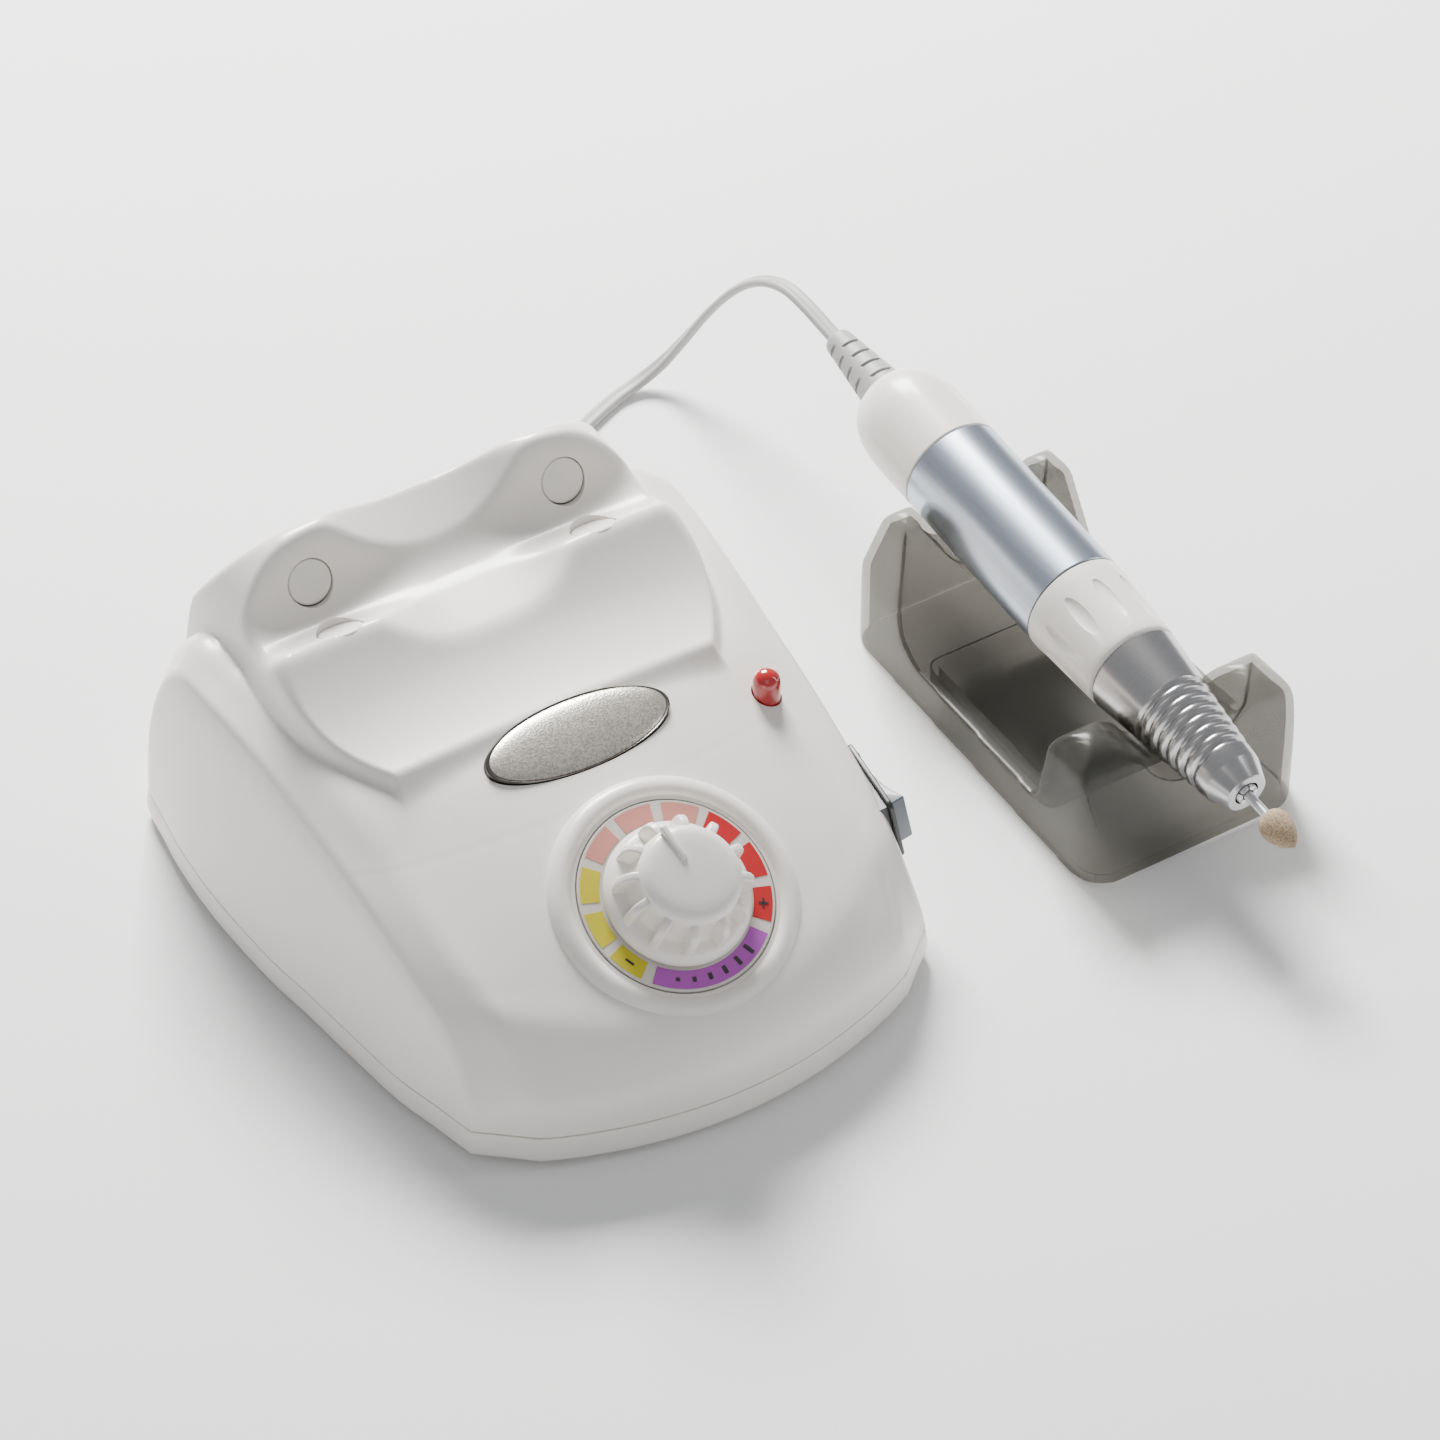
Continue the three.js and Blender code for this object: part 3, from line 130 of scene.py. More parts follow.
class DialSizes(bpy.types.PropertyGroup):
    """The speed dial on the front of the box."""

    knob_radius: metres("Knob radius", "Radius of the knob's skirt", 0.0166)
    cap_radius: metres("Cap radius", "Radius of the knob's cap", 0.0122)
    knob_height: metres("Knob height", "Top of the knob above the scale", 0.0146)
    fins: IntProperty(name="Fins", description="Grip fins round the knob", default=12)
    scale_inner: metres("Scale inner", "Inner radius of the colour scale", 0.0172)
    scale_outer: metres("Scale outer", "Outer radius of the colour scale", 0.0214)


class StandSizes(bpy.types.PropertyGroup):
    """The smoky stand that the handpiece lies on."""

    front_width: metres("Front width", "Width at the front edge", 0.0598)
    rear_width: metres("Rear width", "Width at the rear edge", 0.0538)
    length: metres("Length", "Front edge to rear edge", 0.1047)
    wall: metres("Wall", "Thickness of the moulded wall", 0.002)


class HandpieceSizes(bpy.types.PropertyGroup):
    """The motor handpiece and its bit."""

    barrel_radius: metres("Barrel radius", "Radius of the metal barrel", 0.013)
    flutes: IntProperty(name="Flutes", description="Flutes round the lock ring", default=10)
    grooves: IntProperty(name="Grooves", description="Grip grooves round the nose", default=7)
    bit_length: metres("Bit length", "Length of the abrasive head", 0.0104)


class NailDrillSizes(bpy.types.PropertyGroup):
    """Every size that the operators read."""

    stage: PointerProperty(type=StageSizes)
    cord: PointerProperty(type=CordSizes)
    case: PointerProperty(type=CaseSizes)
    dial: PointerProperty(type=DialSizes)
    stand: PointerProperty(type=StandSizes)
    handpiece: PointerProperty(type=HandpieceSizes)


# ---------- materials ----------


def new_material(name):
    """An empty material with its main shader and its object coordinates."""
    material = bpy.data.materials.new(name)
    material.use_nodes = True
    tree = material.node_tree
    return tree, tree.nodes["Principled BSDF"], tree.nodes.new("ShaderNodeTexCoord").outputs["Object"]


def noise(tree, coords, scale, detail=2.0, stretch=(1, 1, 1)):
    """A noise pattern with features of about 1/scale metres."""
    mapping = tree.nodes.new("ShaderNodeMapping")
    mapping.inputs["Scale"].default_value = stretch
    texture = tree.nodes.new("ShaderNodeTexNoise")
    texture.inputs["Scale"].default_value = scale
    texture.inputs["Detail"].default_value = detail
    tree.links.new(coords, mapping.inputs["Vector"])
    tree.links.new(mapping.outputs["Vector"], texture.inputs["Vector"])
    return texture.outputs["Fac"]


def blended(tree, factor, first, second, low=0.35, high=0.65):
    """A colour that runs from the first to the second as the factor rises."""
    ramp = tree.nodes.new("ShaderNodeValToRGB")
    ramp.color_ramp.elements[0].position = low
    ramp.color_ramp.elements[0].color = (*first, 1)
    ramp.color_ramp.elements[1].position = high
    ramp.color_ramp.elements[1].color = (*second, 1)
    tree.links.new(factor, ramp.inputs["Fac"])
    return ramp.outputs["Color"]


def roughened(tree, shader, height, depth):
    """Fine relief of the given depth in metres."""
    bump = tree.nodes.new("ShaderNodeBump")
    bump.inputs["Strength"].default_value = 0.6
    bump.inputs["Distance"].default_value = depth
    tree.links.new(height, bump.inputs["Height"])
    tree.links.new(bump.outputs["Normal"], shader.inputs["Normal"])


def moulded(name, colour, roughness=0.4, grain=0.00002, change=0.03, coat=0.0):
    """A moulded plastic or rubber with a faint mottle and a fine grain."""
    tree, shader, coords = new_material(name)
    darker = [c * (1 - change) for c in colour]
    lighter = [min(1.0, c * (1 + change)) for c in colour]
    mottle = noise(tree, coords, 22, 3)
    tree.links.new(blended(tree, mottle, darker, lighter), shader.inputs["Base Color"])
    shader.inputs["Roughness"].default_value = roughness
    shader.inputs["Coat Weight"].default_value = coat
    shader.inputs["Coat Roughness"].default_value = 0.12
    roughened(tree, shader, noise(tree, coords, 2600, 2), grain)
    return bpy.data.materials[name]


def metallic(name, colour, roughness=0.3, stretch=(1, 1, 1), grain=0.000004, change=0.06):
    """A metal whose polish lines run where the pattern is stretched."""
    tree, shader, coords = new_material(name)
    lines = noise(tree, coords, 900, 3, stretch)
    darker = [c * (1 - change) for c in colour]
    lighter = [min(1.0, c * (1 + change)) for c in colour]
    tree.links.new(blended(tree, lines, darker, lighter), shader.inputs["Base Color"])
    shader.inputs["Metallic"].default_value = 1.0
    shader.inputs["Roughness"].default_value = roughness
    roughened(tree, shader, lines, grain)
    return bpy.data.materials[name]


def glittered(name, colour, roughness=0.28):
    """A metallic lacquer full of tiny bright flakes under a clear coat."""
    tree, shader, coords = new_material(name)
    flakes = tree.nodes.new("ShaderNodeTexVoronoi")
    flakes.inputs["Scale"].default_value = 2600
    tree.links.new(coords, flakes.inputs["Vector"])
    tree.links.new(
        blended(tree, flakes.outputs["Color"], [c * 0.62 for c in colour], colour, 0.2, 0.85),
        shader.inputs["Base Color"])
    shader.inputs["Metallic"].default_value = 0.75
    shader.inputs["Roughness"].default_value = roughness
    shader.inputs["Coat Weight"].default_value = 0.8
    shader.inputs["Coat Roughness"].default_value = 0.05
    roughened(tree, shader, flakes.outputs["Distance"], 0.00005)
    return bpy.data.materials[name]


def smoky(name, colour, hidden=0.5):
    """A see-through tinted plastic: part of the light goes straight through."""
    tree, shader, coords = new_material(name)
    mottle = noise(tree, coords, 40, 2)
    tree.links.new(
        blended(tree, mottle, [c * 0.93 for c in colour], colour), shader.inputs["Base Color"])
    shader.inputs["Roughness"].default_value = 0.22
    shader.inputs["IOR"].default_value = 1.49
    through = tree.nodes.new("ShaderNodeBsdfTransparent")
    through.inputs["Color"].default_value = (0.78, 0.77, 0.745, 1)
    mix = tree.nodes.new("ShaderNodeMixShader")
    mix.inputs["Fac"].default_value = hidden
    tree.links.new(through.outputs["BSDF"], mix.inputs[1])
    tree.links.new(shader.outputs["BSDF"], mix.inputs[2])
    output = tree.nodes["Material Output"]
    tree.links.new(mix.outputs["Shader"], output.inputs["Surface"])
    return bpy.data.materials[name]


def grainy(name, dark, light):
    """A rough abrasive of bonded grit."""
    tree, shader, coords = new_material(name)
    grit = noise(tree, coords, 2200, 6)
    tree.links.new(blended(tree, grit, dark, light, 0.3, 0.7), shader.inputs["Base Color"])
    shader.inputs["Roughness"].default_value = 0.95
    roughened(tree, shader, grit, 0.00025)
    return bpy.data.materials[name]


# every finish: the recipe that makes it and what that recipe takes
FINISHES = {
    moulded: {
        "white shell": ((0.84, 0.80, 0.75), 0.34, 0.000008, 0.012, 0.25),
        "soft pad": ((0.77, 0.74, 0.70), 0.55, 0.00002),
        "black plastic": ((0.018, 0.019, 0.021), 0.38, 0.00002, 0.1),
        "grey plastic": ((0.12, 0.14, 0.17), 0.35, 0.00001, 0.05),
        "red lens": ((0.42, 0.010, 0.012), 0.1, 0.000003, 0.05, 1.0),
        "scale plate": ((0.66, 0.62, 0.57), 0.5, 0.00001, 0.02),
        "scale yellow": ((0.60, 0.52, 0.012), 0.55, 0.00001, 0.02),
        "scale pink": ((0.62, 0.25, 0.21), 0.55, 0.00001, 0.02),
        "scale red": ((0.50, 0.004, 0.008), 0.55, 0.00001, 0.02),
        "scale purple": ((0.40, 0.075, 0.44), 0.55, 0.00001, 0.02),
        "print black": ((0.03, 0.025, 0.025), 0.5, 0.00001, 0.1),
        "rubber feet": ((0.03, 0.03, 0.03), 0.85, 0.00006, 0.15),
        "board green": ((0.02, 0.13, 0.06), 0.35, 0.00003, 0.2, 0.5),
        "grey sheath": ((0.36, 0.355, 0.35), 0.5, 0.00003, 0.06),
        # near-black: the real carbon of the motor brushes, and painted shade on the core inside the
        # sleeve's grooves
        "groove dark": ((0.03, 0.03, 0.03), 0.6, 0.00002, 0.1),
    },
    glittered: {
        "champagne glitter": ((0.66, 0.62, 0.55),),
    },
    metallic: {
        "badge rim": ((0.16, 0.15, 0.14), 0.25),
        "steel": ((0.66, 0.67, 0.69), 0.28),
        "dark steel": ((0.30, 0.31, 0.33), 0.35),
        # grey metal whose blue tint is a painted reflection of a bluish surround; the polish lines are
        # real
        "brushed barrel": ((0.47, 0.52, 0.60), 0.3, (1, 0.04, 1), 0.000002, 0.05),
        "turned nose": ((0.50, 0.49, 0.49), 0.24, (0.3, 3, 0.3), 0.0000002, 0.03),
        "brass": ((0.72, 0.55, 0.25), 0.3),
        "copper": ((0.70, 0.33, 0.18), 0.32, (0.2, 2, 1)),
        "aluminium": ((0.70, 0.71, 0.73), 0.4),
    },
    smoky: {
        "smoky plastic": ((0.105, 0.104, 0.094), 0.34),
    },
    grainy: {
        "abrasive": ((0.20, 0.13, 0.07), (0.52, 0.40, 0.27)),
    },
}


def material(name):
    """The named material, made when it is first asked for."""
    for recipe, finishes in FINISHES.items():
        if name in finishes and name not in bpy.data.materials:
            recipe(name, *finishes[name])
    return bpy.data.materials[name]


# ---------- modelling helpers ----------


# an outline drawn in XY and raised along Z, turned to run across the object or along it
ACROSS = Matrix(((0, 0, 1, 0), (1, 0, 0, 0), (0, 1, 0, 0), (0, 0, 0, 1)))
ALONG = Matrix(((1, 0, 0, 0), (0, 0, -1, 0), (0, 1, 0, 0), (0, 0, 0, 1)))


def select_only(piece):
    bpy.ops.object.select_all(action="DESELECT")
    piece.select_set(True)
    bpy.context.view_layer.objects.active = piece


def piece_from(name, points, faces, edges=()):
    """A mesh object from points in metres."""
    mesh = bpy.data.meshes.new(name)
    mesh.from_pydata([tuple(p) for p in points], list(edges), faces)
    mesh.update()
    piece = bpy.data.objects.new(name, mesh)
    bpy.context.scene.collection.objects.link(piece)
    return piece


def fixed(piece, matrix=None):
    """Puts the object's own place, and a further one, into its mesh."""
    bpy.context.view_layer.update()
    piece.data.transform((matrix or Matrix.Identity(4)) @ piece.matrix_world)
    piece.matrix_world = Matrix.Identity(4)
    piece.data.update()
    return piece


def modified(piece, kind, **settings):
    """Adds one modifier with its settings and applies it."""
    select_only(piece)
    bpy.ops.object.modifier_add(type=kind)
    modifier = piece.modifiers[-1]
    for key, value in settings.items():
        setattr(modifier, key, value)
    bpy.ops.object.modifier_apply(modifier=modifier.name)
    return piece


def rounded(piece, width, segments=3, angle=30):
    """Bevels the edges sharper than the angle; the width is in millimetres."""
    return modified(
        piece, "BEVEL", width=width * MM, segments=segments, limit_method="ANGLE",
        angle_limit=math.radians(angle), use_clamp_overlap=True)


def smoothed(piece, angle=35):
    select_only(piece)
    bpy.ops.object.shade_smooth_by_angle(angle=math.radians(angle))
    return piece


def outward(piece):
    select_only(piece)
    bpy.ops.object.mode_set(mode="EDIT")
    bpy.ops.mesh.select_all(action="SELECT")
    bpy.ops.mesh.normals_make_consistent(inside=False)
    bpy.ops.object.mode_set(mode="OBJECT")
    return piece


def turned(name, profile, steps=96, matrix=None):
    """A solid turned about Z from [radius, height] pairs in millimetres, as on a lathe."""
    points = [(r * MM, 0, z * MM) for r, z in profile]
    chain = [(i, i + 1) for i in range(len(points) - 1)]
    if profile[0][0] > 0:
        chain.append((len(points) - 1, 0))
    piece = piece_from(name, points, [], chain)
    modified(piece, "SCREW", steps=steps, render_steps=steps, angle=math.tau, use_merge_vertices=True,
             merge_threshold=0.000005, use_smooth_shade=False)
    return fixed(outward(piece), matrix)


def box(name, size, centre, matrix=None):
    bpy.ops.object.select_all(action="DESELECT")
    bpy.ops.mesh.primitive_cube_add(size=1, location=(0, 0, 0))
    piece = bpy.context.view_layer.objects.active
    piece.name = name
    piece.data.name = name
    piece.scale = [s * MM for s in size]
    piece.location = [c * MM for c in centre]
    return fixed(piece, matrix)


def prism(name, outline, low, high, matrix=None):
    """A straight prism over an outline in XY, in millimetres, from one height to the other."""
    count = len(outline)
    points = [(x * MM, y * MM, z * MM) for z in (low, high) for x, y in outline]
    faces = [list(range(count))[::-1], list(range(count, 2 * count))]
    for i in range(count):
        j = (i + 1) % count
        faces.append([i, j, count + j, count + i])
    return fixed(outward(piece_from(name, points, faces)), matrix)


def joined_mesh(name, pieces):
    """Several objects as one."""
    bpy.ops.object.select_all(action="DESELECT")
    for piece in pieces:
        piece.select_set(True)
    bpy.context.view_layer.objects.active = pieces[0]
    if len(pieces) > 1:
        bpy.ops.object.join()
    pieces[0].name = name
    return pieces[0]


def combined(piece, other, operation):
    """A boolean of two closed bodies; the second one is used up."""
    modified(piece, "BOOLEAN", object=other, operation=operation, solver="EXACT")
    bpy.data.objects.remove(other)
    return piece


def cut(piece, *tools):
    for tool in tools:
        combined(piece, tool, "DIFFERENCE")
    return piece


def added(piece, *others):
    for other in others:
        combined(piece, other, "UNION")
    return piece


def finished(piece, look, body, *stands_for, slot=None, angle=35):
    """Gives a piece its shading, material, body and the CAD nodes that it stands for."""
    smoothed(piece, angle)
    piece.data.materials.clear()
    piece.data.materials.append(material(look))
    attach(piece, body)
    if stands_for:
        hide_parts(*stands_for)
    return piece


def arc(cx, cy, radius, start, end, steps):
    return [
        (cx + radius * math.cos(math.radians(start + (end - start) * i / steps)),
         cy + radius * math.sin(math.radians(start + (end - start) * i / steps)))
        for i in range(steps + 1)
    ]


# ---------- stage ----------


def soft_light(name, place, target, size, power, colour=(1, 1, 1)):
    data = bpy.data.lights.new(name, "AREA")
    data.shape = "RECTANGLE"
    data.size, data.size_y = size
    data.energy = power
    data.color = colour
    lamp = bpy.data.objects.new(name, data)
    bpy.context.scene.collection.objects.link(lamp)
    lamp.location = place
    lamp.rotation_euler = (target - place).to_track_quat("-Z", "Y").to_euler()
    return lamp


class StageOperator(bpy.types.Operator):
    """Sets the camera, the floor and the lights"""

    bl_idname = "nail_drill.stage"
    bl_label = "Stage"

    def execute(self, context):
        sizes = context.scene.nail_drill.stage
        target = at(61.3, -7.6, 0)
        back = Vector((
            math.sin(sizes.azimuth) * math.cos(sizes.elevation),
            -math.cos(sizes.azimuth) * math.cos(sizes.elevation),
            math.sin(sizes.elevation),
        ))
        camera = bpy.data.objects.new("camera", bpy.data.cameras.new("camera"))
        context.scene.collection.objects.link(camera)
        camera.data.lens = sizes.lens
        camera.data.sensor_width = 36
        camera.data.clip_start, camera.data.clip_end = 0.05, 20
        camera.location = target + back * sizes.distance
        camera.rotation_euler = (-back).to_track_quat("-Z", "Y").to_euler()
        context.scene.camera = camera

        bpy.ops.object.select_all(action="DESELECT")
        bpy.ops.mesh.primitive_plane_add(size=12, location=(0, 0, -0.0002))
        floor = bpy.context.view_layer.objects.active
        floor.name = "floor"
        tree, shader, coords = new_material("studio floor")
        colour = list(sizes.floor_colour)
        paper = noise(tree, coords, 3)
        tree.links.new(blended(tree, paper, [c * 0.985 for c in colour], colour),
                       shader.inputs["Base Color"])
        shader.inputs["Roughness"].default_value = 0.9
        shader.inputs["Specular IOR Level"].default_value = 0.1
        floor.data.materials.append(bpy.data.materials["studio floor"])

        world = bpy.data.worlds.new("studio")
        world.use_nodes = True
        world.node_tree.nodes["Background"].inputs["Color"].default_value = (0.93, 0.96, 1.0, 1)
        world.node_tree.nodes["Background"].inputs["Strength"].default_value = 0.42
        context.scene.world = world
        middle = at(40, -30, 20)
        soft_light("key", middle + Vector((0.3, 0.95, 0.85)), middle, (0.5, 0.5), 64, (1, 0.99, 0.97))
        soft_light("fill", middle + Vector((-0.5, -1.0, 0.9)), middle, (0.8, 0.8), 1.5, (1, 0.95, 0.88))
        soft_light("strip", middle + Vector((0.9, -0.5, 0.5)), at(130, -30, 40), (0.12, 0.9), 2)
        return {"FINISHED"}


# ---------- cord ----------


def smooth_path(points, step):
    """Points close together along a smooth line through the given points."""
    padded = [points[0] * 2 - points[1], *points, points[-1] * 2 - points[-2]]
    path = []
    for a, b, c, d in zip(padded, padded[1:], padded[2:], padded[3:]):
        count = max(1, round((c - b).length / step))
        for i in range(count):
            t = i / count
            path.append(
                (b * 2 + (c - a) * t + (a * 2 - b * 5 + c * 4 - d) * t * t
                 + (b * 3 - a - c * 3 + d) * t ** 3) / 2)
    path.append(points[-1])
    return path


def swept(name, path, section):
    """A closed tube of the given section along a path; its first axis stays level."""
    side = Vector((1, 0, 0))
    points, faces = [], []
    count = len(section)
    for i, place in enumerate(path):
        along = (path[min(i + 1, len(path) - 1)] - path[max(i - 1, 0)]).normalized()
        level = along.cross(Vector((0, 0, 1)))
        if level.length > 0.3:
            level = level.normalized()
            side = level if level.dot(side) >= 0 else -level
        side = (side - along * side.dot(along)).normalized()
        up = side.cross(along)
        points.extend(place + side * u + up * v for u, v in section)
    for i in range(len(path) - 1):
        for j in range(count):
            k = (j + 1) % count
            faces.append([i * count + j, i * count + k, (i + 1) * count + k, (i + 1) * count + j])
    faces.append(list(range(count))[::-1])
    faces.append([(len(path) - 1) * count + j for j in range(count)])
    return outward(piece_from(name, points, faces))


def coil_points(sizes):
    """The spare cable: one turn on the table, a stack of inner turns, then down the outside."""
    centre = at(44, 66.8, 0)
    pitch = sizes.thickness + 0.00006
    floor = sizes.thickness / 2 + 0.0001
    outer, inner = sizes.outer_turn, sizes.inner_turn
    top = floor + pitch * sizes.inner_turns
    # turn count, radius and height at the marks between which they change evenly
    marks = [
        (0.0, outer, floor), (0.75, outer, floor), (1.0, inner, floor),
        (1.0 + sizes.inner_turns - 0.25, inner, top - pitch * 0.9),
        (1.0 + sizes.inner_turns, (inner + outer) / 2, top),
        (1.25 + sizes.inner_turns, outer, top - pitch * 1.2),
        (1.6 + sizes.inner_turns, outer, floor + pitch),
        (2.25 + sizes.inner_turns, outer, floor + pitch),
    ]
    points = []
    per_turn = 20
    for step in range(round(marks[-1][0] * per_turn)):
        turn = step / per_turn
        for (t0, r0, z0), (t1, r1, z1) in zip(marks, marks[1:]):
            if t0 <= turn < t1:
                share = (turn - t0) / (t1 - t0)
                radius, height = r0 + (r1 - r0) * share, z0 + (z1 - z0) * share
        angle = math.pi / 2 + turn * math.tau
        points.append(centre + Vector((radius * math.cos(angle), radius * math.sin(angle), height)))
    return points


class CordOperator(bpy.types.Operator):
    """Lays the cable from the handpiece, round its spare coil and into the plug"""

    bl_idname = "nail_drill.cord"
    bl_label = "Cord"

    def execute(self, context):
        sizes = context.scene.nail_drill.cord
        floor = sizes.thickness / 2 / MM + 0.1
        exit_point = HAND @ Vector((0, 0, -50.3 * MM))
        lead = [at(*p) for p in (
            (130.1, 56, 45.4), (130.1, 63, 46), (129.9, 70, 46), (129.3, 77, 44), (128.2, 84, 39.6),
            (126.4, 90.5, 32.8), (123.8, 96.4, 24), (120.4, 101, 14.8), (115.8, 104.2, 7),
            (109.6, 105.4, 2.6), (102.6, 104.6, floor), (95.5, 101.8, floor), (87, 98, floor),
            (79, 94.6, floor), (70, 91.4, floor), (60, 89.6, floor), (51, 89.1, floor),
        )]
        tail = [at(*p) for p in (
            (20.6, 58, 3), (18, 52, 1.6), (14.2, 49.4, 2.4), (10.8, 48.4, 5), (8.7, 48.1, 8.8),
            (8, 48.1, 13), (8, 48.1, 16),
        )]
        path = smooth_path([exit_point, *lead, *coil_points(sizes), *tail], 0.0016)
        core = sizes.thickness / 2
        apart = sizes.width / 2 - core
        right = [(apart + core * math.cos(math.radians(a)), core * math.sin(math.radians(a)))
                 for a in range(-125, 126, 25)]
        section = right + [(-x, -y) for x, y in right]
        cable = swept("cord", path, section)
        smoothed(cable, 50)
        cable.data.materials.append(material("grey sheath"))
        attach(cable, "frame")
        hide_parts("cord_lead", "cord_coil", "cord_tail")

        sleeve = self.strain_relief()
        plug = self.plug()
        return {"FINISHED"}

    def strain_relief(self):
        """The ribbed rubber sleeve between the cap and the cable."""
        near, far = -28.3, -49.9
        profile = [(0, near), (5.9, near)]
        profile += [(5.9 - 2.5 * i / 20, near - (near - far) * i / 20) for i in range(1, 20)]
        profile += [(3.25, far + 0.4), (2.9, far), (0, far)]
        sleeve = turned("strain_relief_sleeve", profile, 64, HAND)
        # slots go a third of the way round, each row turned against the last
        tools = []
        for row in range(8):
            height = near - 3 - row * 2.15
            radius = 5.9 - 2.5 * (near - height) / (near - far)
            for side in range(2):
                slot = box("slot", (radius * 2.2, 1.2, 1.0), (0, radius * 0.92, 0))
                turn = Matrix.Rotation(math.pi * side + math.pi / 2 * (row % 2), 4, "Z")
                fixed(slot, HAND @ Matrix.Translation((0, 0, height * MM)) @ turn)
                tools.append(slot)
        cut(sleeve, joined_mesh("slots", tools))
        finished(sleeve, "grey sheath", "frame", "strain_relief", slot="grey_cord")
        # a near-black core inside the slotted sleeve: painted shade for the grooves between the ribs
        core_profile = [(0, near + 0.1), (4.6, near - 0.4), (2.3, far + 0.6), (0, far + 0.5)]
        core = turned("strain_relief_core", core_profile, 32, HAND)
        finished(core, "groove dark", "frame", slot="grey_cord")
        core.parent = sleeve
        core.matrix_parent_inverse = Matrix.Identity(4)
        return sleeve

    def plug(self):
        """The right-angled plug in the back panel."""
        mouth = at(8, 40.9, 31)
        along = Matrix.Translation(mouth) @ Matrix.Rotation(math.radians(-90), 4, "X")
        pin = turned("pin", [(0, -8), (1.1, -8), (1.75, -7), (1.75, 4), (0, 4)], 32, along)
        body = turned("plug", [(0, 0), (4.4, 0), (5, 0.6), (5, 9), (4.6, 10.2), (3.6, 11), (0, 11.4)],
                      48, along)
        leg_profile = [(0, 13), (2.4, 13), (2.7, 14), (2.7, 19), (3.4, 20.4), (4.2, 25), (4.4, 27)]
        leg_profile += [(4.4, 31), (0, 31)]
        leg = turned("leg", leg_profile, 48, Matrix.Translation(at(8, 48.1, 0)))
        added(body, pin, leg)
        return finished(body, "black plastic", "frame", "handpiece_plug", slot="black_plastic")


# ---------- case ----------

SEAM = 8.7
CROWN_SHARE, BEVEL_SHARE = 0.62, 0.76
RIM, LIP, TROUGH_RADIUS, TROUGH_FLOOR, TROUGH_MIDDLE = 82.9, 69.8, 9.2, 65.7, 4.1
CRADLE_SPAN, SWEEP_FOOT, CROWN = 51.7, -38, 58.0
# one section per row, from the nose to the back: spine, upper crease, lower crease and seam
SECTIONS = [
    [[-118.2, 8.7], [46.5, -107.5, 8.7], [58.4, -97.3, 8.7], [58.4, -97.3, 8.7]],
    [[-117, 18], [46.9, -105, 18.9], [57.8, -95, 16], [58.9, -95.3, 8.7]],
    [[-111.5, 26.6], [47.9, -95, 31.1], [57.7, -85.5, 27.8], [60.9, -86.5, 8.7]],
    [[-100, 33.4], [49.3, -84, 36.8], [58.6, -74.5, 34], [63.6, -75.3, 8.7]],
    [[-84, 41.6], [50.2, -70, 41.8], [59.3, -61, 39.6], [65.6, -59, 8.7]],
    [[-62, 50.2], [50.6, -54, 46.8], [60, -47, 44.2], [67.3, -43, 8.7]],
    [[-40, 56], [51.2, -36, 52.4], [61, -30, 48.1], [69.2, -27, 8.7]],
    [[-15, 58], [53, -14, 55.6], [62.3, -10, 52.4], [70, -5, 8.7]],
    [[8, 58], [55, 9, 57.6], [63.7, 8, 54.2], [69.1, 12, 8.7]],
    [[26, 56.5], [56.3, 24, 57.3], [64.3, 20, 52.4], [67.5, 23, 8.7]],
    [[36, 48], [57, 33, 46], [65, 28, 41], [66.3, 31, 8.7]],
    [[40.5, 30], [57, 37, 28], [65, 33, 26], [65.4, 34.5, 8.7]],
    [[42.5, 8.7], [57.5, 39.5, 8.7], [64.6, 36, 8.7], [64.6, 36, 8.7]],
]
HALF_WIDTH, HALF_LENGTH, CASE_HEIGHT = 70, 80.35, 49.3
CASE_MIDDLE = (SECTIONS[0][0][0] + SECTIONS[-1][0][0]) / 2


def through(rows, w):
    """A smooth curve through evenly spaced rows of numbers, at w from 0 to 1."""
    place = w * (len(rows) - 1)
    i = min(int(place), len(rows) - 2)
    t = place - i
    b, c = rows[i], rows[i + 1]
    a = rows[i - 1] if i > 0 else [2 * p - q for p, q in zip(b, c)]
    d = rows[i + 2] if i + 2 < len(rows) else [2 * p - q for p, q in zip(c, b)]
    return [
        q + t * (0.5 * (r - p) + t * (p - 2.5 * q + 2 * r - 0.5 * s + t * 0.5 * (s - p + 3 * (q - r))))
        for p, q, r, s in zip(a, b, c, d)
    ]


def mixed(a, b, share):
    return [p + (q - p) * share for p, q in zip(a, b)]


class Section:
    """The outline of the case across one place along it."""

    def __init__(self, along):
        spine = through([s[0] for s in SECTIONS], along)
        self.spine = [0, *spine]
        self.upper, self.lower, self.seam = (
            through([s[k] for s in SECTIONS], along) for k in (1, 2, 3))

    def point(self, share):
        """A point from the spine, share 0, to the seam, share 1."""
        if share <= CROWN_SHARE:
            t = share / CROWN_SHARE
            x, y, z = mixed(self.spine, self.upper, t * t)
            return [self.upper[0] * t, y, z]
        if share <= BEVEL_SHARE:
            return mixed(self.upper, self.lower, (share - CROWN_SHARE) / (BEVEL_SHARE - CROWN_SHARE))
        return mixed(self.lower, self.seam, (share - BEVEL_SHARE) / (1 - BEVEL_SHARE))

    def soft_point(self, share, softness):
        """The same point with its creases rounded over a share of the half width."""
        reach = min(softness, 1 - share, share)
        taps = [self.point(share + reach * k / 4) for k in range(-4, 5)]
        return [sum(values) / len(taps) for values in zip(*taps)]


def soft_min(a, b, blend):
    h = max(blend - abs(a - b), 0) / blend
    return min(a, b) - h * h * blend / 4


def soft_max(a, b, blend):
    return -soft_min(-a, -b, blend)


def span_at(y):
    """Half the width of the cradle at a place along the case."""
    t = max(0.0, min(1.0, (-y + 10) / 14))
    ahead = -4 - max(y, SWEEP_FOOT)
    narrowing = 11 * (ahead / 32) ** 2 if ahead > 0 else 0
    return CRADLE_SPAN + 1.3 * t * t * (3 - 2 * t) - narrowing


